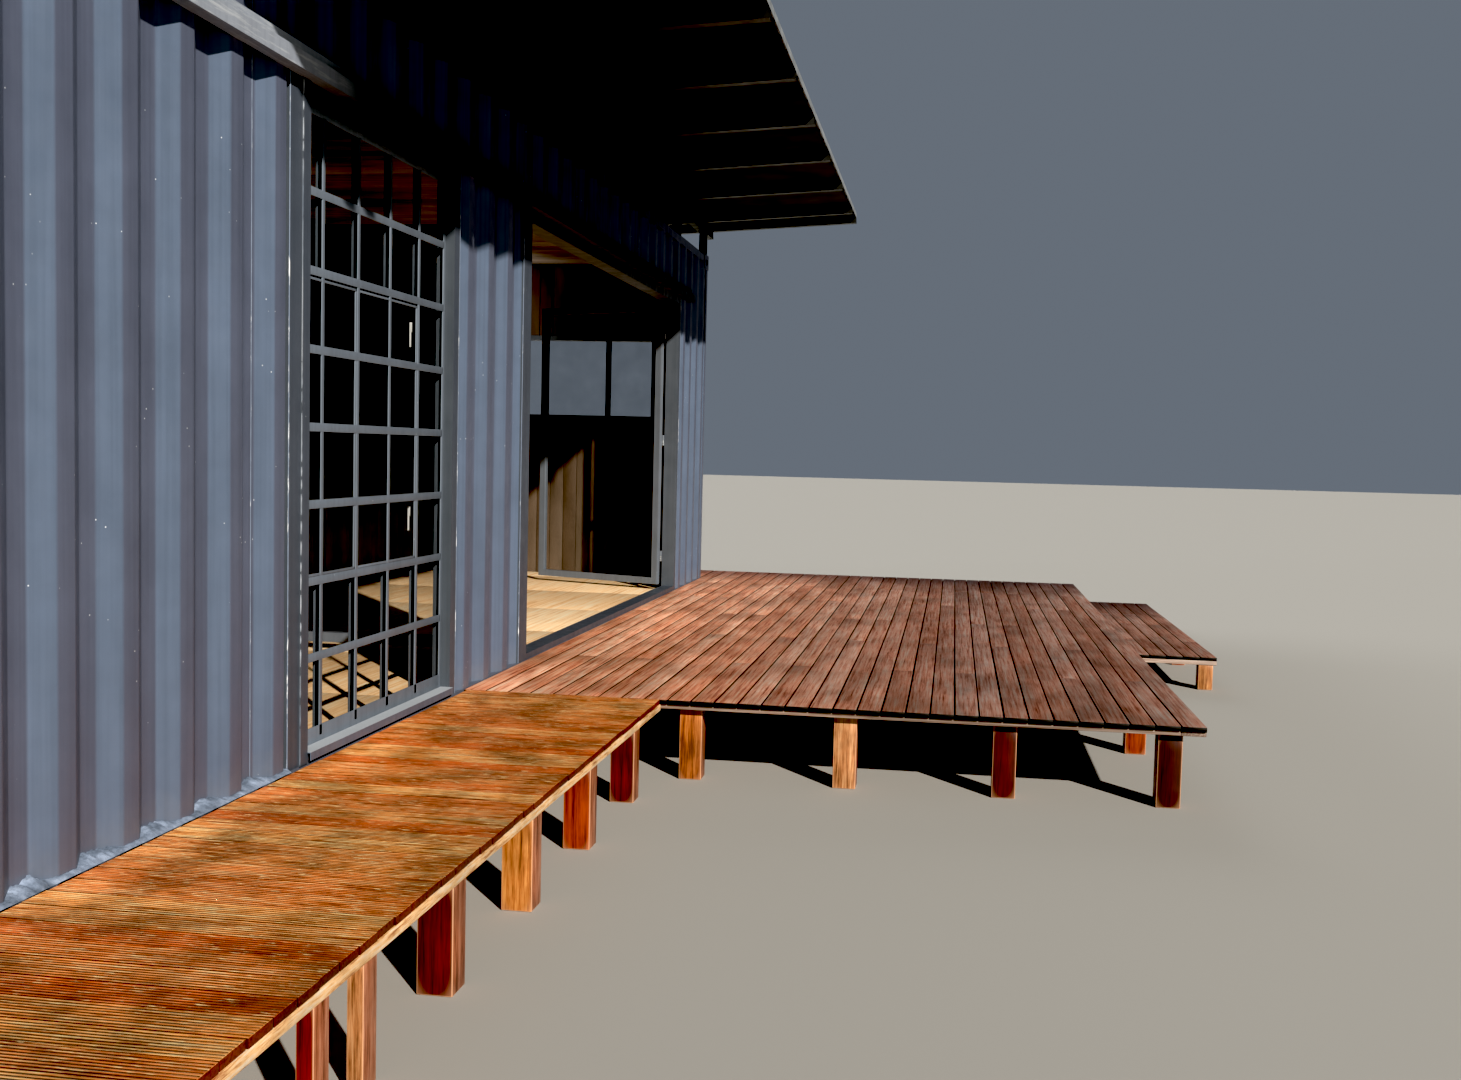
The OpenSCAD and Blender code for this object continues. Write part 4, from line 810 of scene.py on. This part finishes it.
# A black breather membrane lies over the beams, under the sheets, and hides their ribs from below
membrane_felt, tree, shader = new_finish("black_breather_membrane")
fleece = where(tree)
sag = clouds(tree, fleece, 3.0, 2)
soft = bumps(tree, clouds(tree, fleece, 300.0, 2), 0.4, 0.0006, bumps(tree, sag, 0.5, 0.01))
plug(tree, shader, {"Base Color": ramp(tree, sag, (0.35, "#34373a"), (0.65, "#414447")),
                    "Normal": soft, "Roughness": 0.85})
FELT_T, FELT_IN, FELT_UP = 3, 12, 0.5
slope_l = (EAVE + REAR) - 2 * FELT_IN
deselect()
bpy.ops.mesh.primitive_cube_add(size=1)
felt = bpy.context.object
felt.scale = ((roof_x[1] - roof_x[0] - 2 * FELT_IN) / 1000, slope_l / 1000, FELT_T / 1000)
felt.rotation_euler = (-PITCH_ANGLE, 0, 0)
felt.location = on_roof((roof_x[0] + roof_x[1]) / 2, (REAR - EAVE) / 2, -FELT_T / 2 + FELT_UP)
settle()
edit("EDGE")
divide(felt, 0, 12, 1)
close()
hand_in(felt, "roof_membrane", membrane_felt)


def screw_head(sides, radius, depth, ring, rise, crown=0):
    """A screw's head, in mm: a disc drawn up or pressed in inside a ring, and flat at its crown."""
    deselect()
    bpy.ops.mesh.primitive_cylinder_add(vertices=sides, radius=radius / 1000, depth=depth / 1000)
    head = bpy.context.object
    edit("FACE")
    pick(head, "faces", lambda f, m: f.normal.z > 0.9)
    bpy.ops.mesh.inset(thickness=ring / 1000)
    push(0, 0, rise / 1000)
    if crown:
        bpy.ops.mesh.inset(thickness=crown / 1000)
    close()
    return head


SCREW_PITCH, FIRST_SCREW, SCREW_ROWS, WASHER, HEAD, HEAD_H = 380, 120, 10, 9, 5, 4
roof_screw = screw_head(12, WASHER, 2, WASHER - HEAD, HEAD_H, 1)
spots = []
beam_xs = [roof_x[0] + BEAM / 2, roof_x[1] - BEAM / 2]
x = roof_x[1] - FIRST_BEAM + BEAM / 2
while x > roof_x[0] + 2 * BEAM:
    beam_xs.append(x)
    x -= BEAM_PITCH
for x in beam_xs:
    rise = fold_depth(x, roof_x[0] + FIRST_PAN, RIB_PAN, RIB_SLOPE, RIB_CREST, RIB_H) + SHEET_T
    for k in range(SCREW_ROWS):
        low = on_roof(x, FIRST_SCREW - EAVE + k * SCREW_PITCH, rise - 1)
        spots.append((low - Vector((WASHER, WASHER, 0)) / 1000, HEAD_H + 2))
lay("roof_screws", roof_screw, 2, spots, zinc)


# Walkway. Hardwood boards laid crosswise on two flat bearers, each held by two screws at a bearer,
# and stained with an orange-brown oil. Square posts carry the bearers.
# The boards' long sides in the joints are tinted dark as painted shade in the gaps; their ends take a
# darker red-brown
walkway_oil = timber("oiled_hardwood_walkway", "y", ("#7f3819", "#ffad63", "#ffe6a8"), 9, 170, 0.45,
                     0.55, ("#e6a898", "#ffffff"), {"Y": ["#7d4433"], "X": ["#4a2214"]}, None, 0.4, 0.6)
# The boards towards the near end are darkened a little
NEAR_DARKEST_X, NEAR_DARKEN_FROM_X = 1800, 3500
tree, shader, paint = opened(walkway_oil)
near_end_darkening = ranged(tree, measure(tree, "X"), place(NEAR_DARKEN_FROM_X, 0, 0).x, place(NEAR_DARKEST_X, 0, 0).x)
plug(tree, shader, {"Base Color": multiply(tree, paint, colour("#cbc7c8"), near_end_darkening)})
WALK_BOARDS, WALK_JOINT, EASE, UNEVEN, END_GAP = 62, 4, 0.0022, 4, 5
FLUTES, FLUTE_W, FLUTE_DEEP = 7, 4.4, 1.8
walk_x, walk_y, walk_z = reaches("walkway_boards")
walk_pitch = (walk_x[1] - walk_x[0]) / WALK_BOARDS
board_l = walk_y[1] - walk_y[0] - END_GAP
spots = [(place(k * walk_pitch, walk_y[0] + chance.uniform(0, UNEVEN), walk_z[0]), board_l)
         for k in range(WALK_BOARDS)]
plank = board(place(0, walk_y[0], walk_z[0]), place(walk_pitch - WALK_JOINT, walk_y[1], walk_z[1]),
              EASE, 3)
edit("EDGE")
divide(plank, 0, 2 * FLUTES, 0.05)
bpy.ops.mesh.select_mode(type="FACE")
plank_low = place(0, 0, 0).x + EASE
strip_w = ((walk_pitch - WALK_JOINT) / 1000 - 2 * EASE) / (2 * FLUTES + 1)
pick(plank, "faces", lambda f, m: f.normal.z > 0.99 and int((m.x - plank_low) / strip_w) % 2)
push(0, 0, -FLUTE_DEEP / 1000)
close()
floor_of_flute = place(0, 0, walk_z[1] - FLUTE_DEEP).z
inside = []
for v in plank.data.vertices:
    part = (v.co.x - plank_low) / strip_w
    flute = min(max(round((part - 1.5) / 2), 0), FLUTES - 1) * 2 + 1.5
    if abs(part - flute) < 0.55 and v.co.z > floor_of_flute - 1e-4:
        v.co.x = plank_low + (flute + (part - flute) * FLUTE_W / 1000 / strip_w) * strip_w
    low_down = abs(v.co.z - floor_of_flute) < 1e-4 and abs(part - flute) < 0.55
    inside.append(float(low_down))
plank.data.attributes.new("groove", "FLOAT", "POINT").data.foreach_set("value", inside)
walkway = lay("walkway_planks", plank, 1, spots, walkway_oil, 0.0015)
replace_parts(walkway, "walkway_boards")
rim_oil = timber("oiled_hardwood_rim", "x", ("#a25a36", "#ffcf96", "#fff0d8"), 9, 120, 0.5, 0.3,
                 ("#e8e0d8", "#ffffff"))
RIM = 100
rim_x, rim_y, rim_z = reaches("walkway_bearers")
rim_l = rim_x[1] - rim_x[0]
spots = [(place(rim_x[0], y, rim_z[0]), rim_l) for y in (rim_y[0], rim_y[1] - RIM)]
rim = board(place(0, 0, rim_z[0]), place(rim_x[1], RIM, rim_z[1]), 0.003, 11)
walk_rims = lay("walkway_rims", rim, 0, spots, rim_oil)
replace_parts(walk_rims, "walkway_bearers")
post_oil = timber("oiled_hardwood_posts", "z", ("#4f2a18", "#b98058", "#e2b288"), 14, 230, 0.42,
                  0.45, ("#e6d6cc", "#ffffff"),
                  {"X": ["#643b2d", "#8c3c2c", "#a4482e", "#cc7840", "#ffe8b9", "#fff6ea"],
                   "Y": ["#e2c8d0"]}, "#d9a682", 0.4)
POST, POST_EASE, THIN, THIN_T = 100, 0.004, 75, 40
WALK_POSTS, FIRST_POST, LAST_POST = 9, 65, 415
post_y = reach("walkway_posts", "y")
post_pitch = (walk_x[1] - LAST_POST - FIRST_POST) / (WALK_POSTS - 1)
pair = WALK_POSTS // 2
OUTER_TONES = (0.44, 0.28, 0.52, 0.68, 0.2, 0.2, 0.78, 0.6, 0.22)
spots, tones = [], []
for k in range(WALK_POSTS):
    x = FIRST_POST + k * post_pitch
    spots.append((place(x, post_y[1] - POST, 0), rim_z[0]))
    tones.append(0.36)
    if k != pair:
        spots.append((place(x, post_y[0], 0), rim_z[0]))
        tones.append(OUTER_TONES[k])
stub = board(place(0, 0, 0), place(POST, POST, rim_z[0]), POST_EASE, 3)
walk_posts = lay("walkway_stub_posts", stub, 2, spots, post_oil, 0.0, tones)
PLANK_GAP = 175
pair_x = FIRST_POST + pair * post_pitch + (POST - PLANK_GAP) / 2 - THIN
spots = [(place(x, post_y[0], 0), rim_z[0]) for x in (pair_x, pair_x + THIN + PLANK_GAP)]
thin = board(place(0, 0, 0), place(THIN, THIN_T, rim_z[0]), 0.003, 3)
thin_posts = lay("walkway_thin_posts", thin, 2, spots, post_oil, 0.0, (0.34, 1.0))
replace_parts(walk_posts, "walkway_posts")
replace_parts(thin_posts, "walkway_posts")
# Stainless screw heads, dulled by oil
screw_steel, tree, shader = new_finish("oiled_stainless_screw")
plug(tree, shader, {"Base Color": colour("#6a5a4c"), "Metallic": 0.7, "Roughness": 0.45})
SCREW_R, SCREW_H, RECESS_RIM, RECESS, PROUD_OF_WOOD = 4.5, 3, 1.8, 1.4, 0.3
SCREW_PARTS, WANDER_X, WANDER_Y = (0.22, 0.78), 3, 9


def screws(name, centres):
    """Countersunk screw heads, with their recess, at the top of the boards."""
    head = screw_head(10, SCREW_R, SCREW_H, RECESS_RIM, -RECESS)
    corner = Vector((SCREW_R, SCREW_R, SCREW_H - PROUD_OF_WOOD)) / 1000
    lay(name, head, 2, [(centre - corner, SCREW_H) for centre in centres], screw_steel)


centres = []
for k in range(WALK_BOARDS):
    for y in (rim_y[0] + RIM / 2, rim_y[1] - RIM / 2):
        for part in SCREW_PARTS:
            x = k * walk_pitch + part * (walk_pitch - WALK_JOINT)
            x += chance.uniform(-WANDER_X, WANDER_X)
            centres.append(place(x, y + chance.uniform(-WANDER_Y, WANDER_Y), DECK_TOP - 1))
screws("walkway_screws", centres)


# Deck and step. The wide deck's boards run along the container, butted over the bearers, and are
# redder and more worn than the walkway's. The step platform is made the same way, one tread lower.
# The boards' sides in the joints are tinted near black as painted shade in the gaps; their ends are
# tinted near black too
deck_oil = timber("oiled_hardwood_deck", "x", ("#98462f", "#ffb48f", "#ffe2c2"), 12, 420, 0.55,
                  0.42, ("#e6d2c8", "#ffffff"), {"X": ["#140b08"], "Y": ["#2a1812"]}, None, 0.3)
# The boards are darkened and cooled towards the deck's outer edge, and again towards its far end
DARKEN_FROM_Y, DARKEST_Y, END_DARKEN_FROM_X, END_DARKEST_X = -300, -2200, 11600, 12700
tree, shader, paint = opened(deck_oil)
outward_darkening = ranged(tree, measure(tree, "Y"), place(0, DARKEN_FROM_Y, 0).y, place(0, DARKEST_Y, 0).y)
outward_darkening = ramp(tree, outward_darkening, (0.0, 1.0), (0.55, [0.53, 0.55, 0.61, 1]), (1.0, [0.35, 0.40, 0.50, 1]))
far_end_darkening = ranged(tree, measure(tree, "X"), place(END_DARKEN_FROM_X, 0, 0).x, place(END_DARKEST_X, 0, 0).x)
paint = multiply(tree, multiply(tree, paint, outward_darkening), colour("#948f99"), far_end_darkening)
plug(tree, shader, {"Base Color": paint})
DECK_ROWS, DECK_JOINT, BEARER, BEARER_ROWS, OVERHANG, BUTT_GAP = 31, 6, 150, 7, 12, 3
deck_x, deck_y, deck_z = reaches("deck_boards")
deck_pitch = -deck_y[0] / DECK_ROWS
bearers_x = deck_x[0] + OVERHANG
row_pitch = (deck_x[1] - bearers_x - BEARER) / (BEARER_ROWS - 1)
bearer_mid = [bearers_x + k * row_pitch + BEARER / 2 for k in range(BEARER_ROWS)]
BUTTS = ((3,), (1, 5), (4,), (2,), (1, 4), (5,), (3,), (2, 5))


def butted(stops, y, z):
    """A row of boards laid end to end between the stops along x."""
    return [(place(start, y, z), end - start - BUTT_GAP) for start, end in zip(stops, stops[1:])]


spots = []
for row in range(DECK_ROWS):
    stops = [deck_x[0]] + [bearer_mid[k] for k in BUTTS[row % len(BUTTS)]] + [deck_x[1]]
    spots += butted(stops, deck_y[0] + row * deck_pitch, deck_z[0])
plank = board(place(0, 0, deck_z[0]), place(2000, deck_pitch - DECK_JOINT, deck_z[1]), EASE, 5)
deck = lay("deck_planks", plank, 0, spots, deck_oil, 0.0012)
# Nearly black, matt strips low in the deck's joints: painted shade in the gaps between the boards
painted_shade_joint_fill = mottled("painted_shade_joint_fill", (0.4, "#0d0907"), (0.65, "#2a1f18"), (160.0, 4), 0.95)
FILL_IN, FILL_LOW, FILL_H, TUCK = 15, 3, 8, 1
spots = [(place(deck_x[0] + FILL_IN, deck_y[0] + row * deck_pitch - DECK_JOINT - TUCK,
                deck_z[0] + FILL_LOW), deck_x[1] - deck_x[0] - 2 * FILL_IN)
         for row in range(1, DECK_ROWS)]
seam = board(place(0, 0, 0), place(5000, DECK_JOINT + 2 * TUCK, FILL_H), 0.001, 40)
lay("deck_joint_shade_fill", seam, 0, spots, painted_shade_joint_fill)
WRAP_GAP, RETURN_PITCH = 30, 74
wrap_x = FAR_END + WRAP_GAP
spots = [(place(wrap_x, 3 + k * RETURN_PITCH, deck_z[0]), deck_x[1] - wrap_x) for k in range(2)]
plank = board(place(0, 0, deck_z[0]), place(600, RETURN_PITCH - 3, deck_z[1]), EASE, 2)
wrap = lay("deck_return_planks", plank, 0, spots, deck_oil, 0.001)
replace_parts(deck, "deck_boards")
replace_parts(wrap, "deck_boards")
# The bearers' top and bottom faces are tinted near black: painted shade under the boards, seen through
# the joints
BEARER_OIL, PAINTED_SHADE_ON_TOPS = ("#5a4236", "#a58b7c", "#cdbdb0"), {"Z": ["#1e120d"]}
bearer_oil_x, bearer_oil_y = (
    timber("oiled_hardwood_bearers_" + way, axis, BEARER_OIL, 8, 400, 0.55, 0.4, faces=PAINTED_SHADE_ON_TOPS)
    for way, axis in (("lengthwise", "x"), ("crosswise", "y")))
beam_x, beam_y, beam_z = reaches("deck_bearers")
beam_l = beam_x[1] - beam_x[0]
SLIT = 0.4
spots = [(place(beam_x[0], beam_y[0], beam_z[0]), beam_l),
         (place(wrap_x, beam_y[1] - RIM, beam_z[0]), bearer_mid[-1] - BEARER / 2 - wrap_x)]
beam = board(place(0, 0, beam_z[0]), place(beam_x[1], RIM, beam_z[1]), 0.003, 11)
rims = lay("deck_rim", beam, 0, spots, bearer_oil_x)
inner_l = -beam_y[0] - RIM - SLIT
spots = [(place(middle - BEARER / 2, beam_y[0] + RIM + SLIT, beam_z[0]),
          inner_l + (beam_y[1] if middle == bearer_mid[-1] else 0))
         for middle in bearer_mid]
beam = board(place(0, 0, beam_z[0]), place(BEARER, inner_l, beam_z[1]), 0.003, 7)
cross = lay("deck_cross_bearers", beam, 1, spots, bearer_oil_y)
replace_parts(rims, "deck_bearers")
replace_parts(cross, "deck_bearers")
POST_ROWS, POST_WALL, POST_SET = 5, 346, 84
outer_post = -beam_y[0] - POST_SET - POST / 2
post_step = (outer_post - POST_WALL) / (POST_ROWS - 1)
FRONT_TONES = (0.44, 0.72, 1.0, 0.1, 0.0, 0.6, 0.6, 0.6, 0.6, 0.6)
spots = []
for middle in bearer_mid:
    for k in range(POST_ROWS):
        y = -POST_WALL - k * post_step - POST / 2
        spots.append((place(middle + BEARER / 2 - POST, y, 0), beam_z[0]))
for x in (wrap_x, deck_x[1] - POST):
    spots.append((place(x, beam_y[1] - POST, 0), beam_z[0]))
stub = board(place(0, 0, 0), place(POST, POST, beam_z[0]), POST_EASE, 3)
deck_posts = lay("deck_stub_posts", stub, 2, spots, post_oil, 0.0, FRONT_TONES)
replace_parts(deck_posts, "deck_posts")
STAGGER = 22
centres = []
for row in range(DECK_ROWS):
    for middle in bearer_mid:
        for part, side in zip(SCREW_PARTS, (STAGGER, -STAGGER)):
            y = deck_y[0] + row * deck_pitch + part * (deck_pitch - DECK_JOINT)
            centres.append(place(middle + side + chance.uniform(-4, 4), y, DECK_TOP - 1))
screws("deck_screws", centres)

STEP_ROWS, STEP_BEARER_T, STEP_POST, STEP_SET = 6, 28, 90, 20
STEP_BUTTS = ([10300, 12000], [11300])
step_x, step_y, step_z = reaches("step_boards")
step_pitch = (step_y[1] - step_y[0]) / STEP_ROWS
spots = []
for row in range(STEP_ROWS):
    stops = [step_x[0]] + STEP_BUTTS[row % 2] + [step_x[1]]
    spots += butted(stops, step_y[0] + row * step_pitch, step_z[0])
plank = board(place(0, 0, step_z[0]), place(2000, step_pitch - DECK_JOINT, step_z[1]), EASE, 4)
step = lay("step_planks", plank, 0, spots, deck_oil, 0.001)
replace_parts(step, "step_boards")
frame_y, step_under = reach("step_frame", "y"), step_z[0] - STEP_BEARER_T
bearer_xs = [step_x[0]] + [bearer_mid[k] + BEARER / 2 - POST for k in (4, 5)] + [step_x[1] - POST]
spots = [(place(x, frame_y[0], step_under), frame_y[1] - frame_y[0]) for x in bearer_xs]
beam = board(place(0, 0, step_under), place(POST, 700, step_z[0]), 0.003, 3)
step_beams = lay("step_bearers", beam, 1, spots, bearer_oil_y)
inset = (POST - STEP_POST) / 2
spots = [(place(x + inset, frame_y[0] + STEP_SET, 0), step_under) for x in bearer_xs]
stub = board(place(0, 0, 0), place(STEP_POST, STEP_POST, step_under), POST_EASE, 3)
step_posts = lay("step_stub_posts", stub, 2, spots, post_oil, 0.0,
                 (0.92, 0.44, 0.6, 0.52))
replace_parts(step_beams, "step_frame")
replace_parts(step_posts, "step_frame")


# Floor, light and sky. A plain pale floor, a key light from behind the camera's right shoulder, at
# the height where the roof's edge shades the wall above the openings, two soft fills from behind
# and from the far end, a small light in the room, and an even pale sky.
deselect()
bpy.ops.mesh.primitive_plane_add(size=160, location=(0, 0, -0.001))
ground = bpy.context.object
ground.name = "studio_floor"
studio_floor, tree, shader = new_finish("pale_studio_floor")
plug(tree, shader, {"Base Color": colour("#a3a09a"), "Roughness": 0.9})
ground.data.materials.append(studio_floor)


def shine(name, power, spread, tint, towards):
    """A far light from one direction, its disc `spread` degrees wide."""
    light = bpy.data.lights.new(name, "SUN")
    light.energy = power
    light.angle = radians(spread)
    light.color = tint
    hung = bpy.data.objects.new(name, light)
    hung.rotation_euler = Vector(towards).to_track_quat("Z", "Y").to_euler()
    bpy.context.scene.collection.objects.link(hung)
    return hung


shine("key", 6.1, 0.8, (1.0, 0.955, 0.89), (-1.314, -1.0, 0.887))
for name, power, towards in (("back_fill", 1.2, (0.1, 1.0, 0.8)), ("end_fill", 0.9, (1, 0.2, 0.4))):
    shine(name, power, 25, (0.92, 0.96, 1.0), towards).visible_glossy = False
room = bpy.data.lights.new("room", "AREA")
room.shape = "RECTANGLE"
room.size, room.size_y = 1.4, 0.3
room.energy = 2.0
room.spread = radians(130)
room.color = (1.0, 0.95, 0.9)
room_light = bpy.data.objects.new("room", room)
room_light.location = place(11750, 1500, 2330)
room_light.rotation_euler = Vector((-0.75, 0, -0.66)).to_track_quat("Z", "X").to_euler()
room_light.visible_camera = False
room_light.visible_glossy = False
bpy.context.scene.collection.objects.link(room_light)
sky = bpy.data.worlds.new("studio_sky")
sky.use_nodes = True
tree = sky.node_tree
seen = add(tree, "LightPath").outputs["Is Camera Ray"]
plug(tree, tree.nodes["Background"], {"Color": (0.40, 0.46, 0.55, 1),
                                      "Strength": ranged(tree, seen, 0.0, 1.0, 0.22, 0.4)})
bpy.context.scene.world = sky
view = bpy.context.scene.view_settings
view.view_transform = "Standard"
view.use_curve_mapping = True
view.curve_mapping.black_level = (0.034, 0.034, 0.037)
view.curve_mapping.update()


def corners(box):
    """A box's two corners as plain lists."""
    return [[float(number) for number in corner] for corner in box]
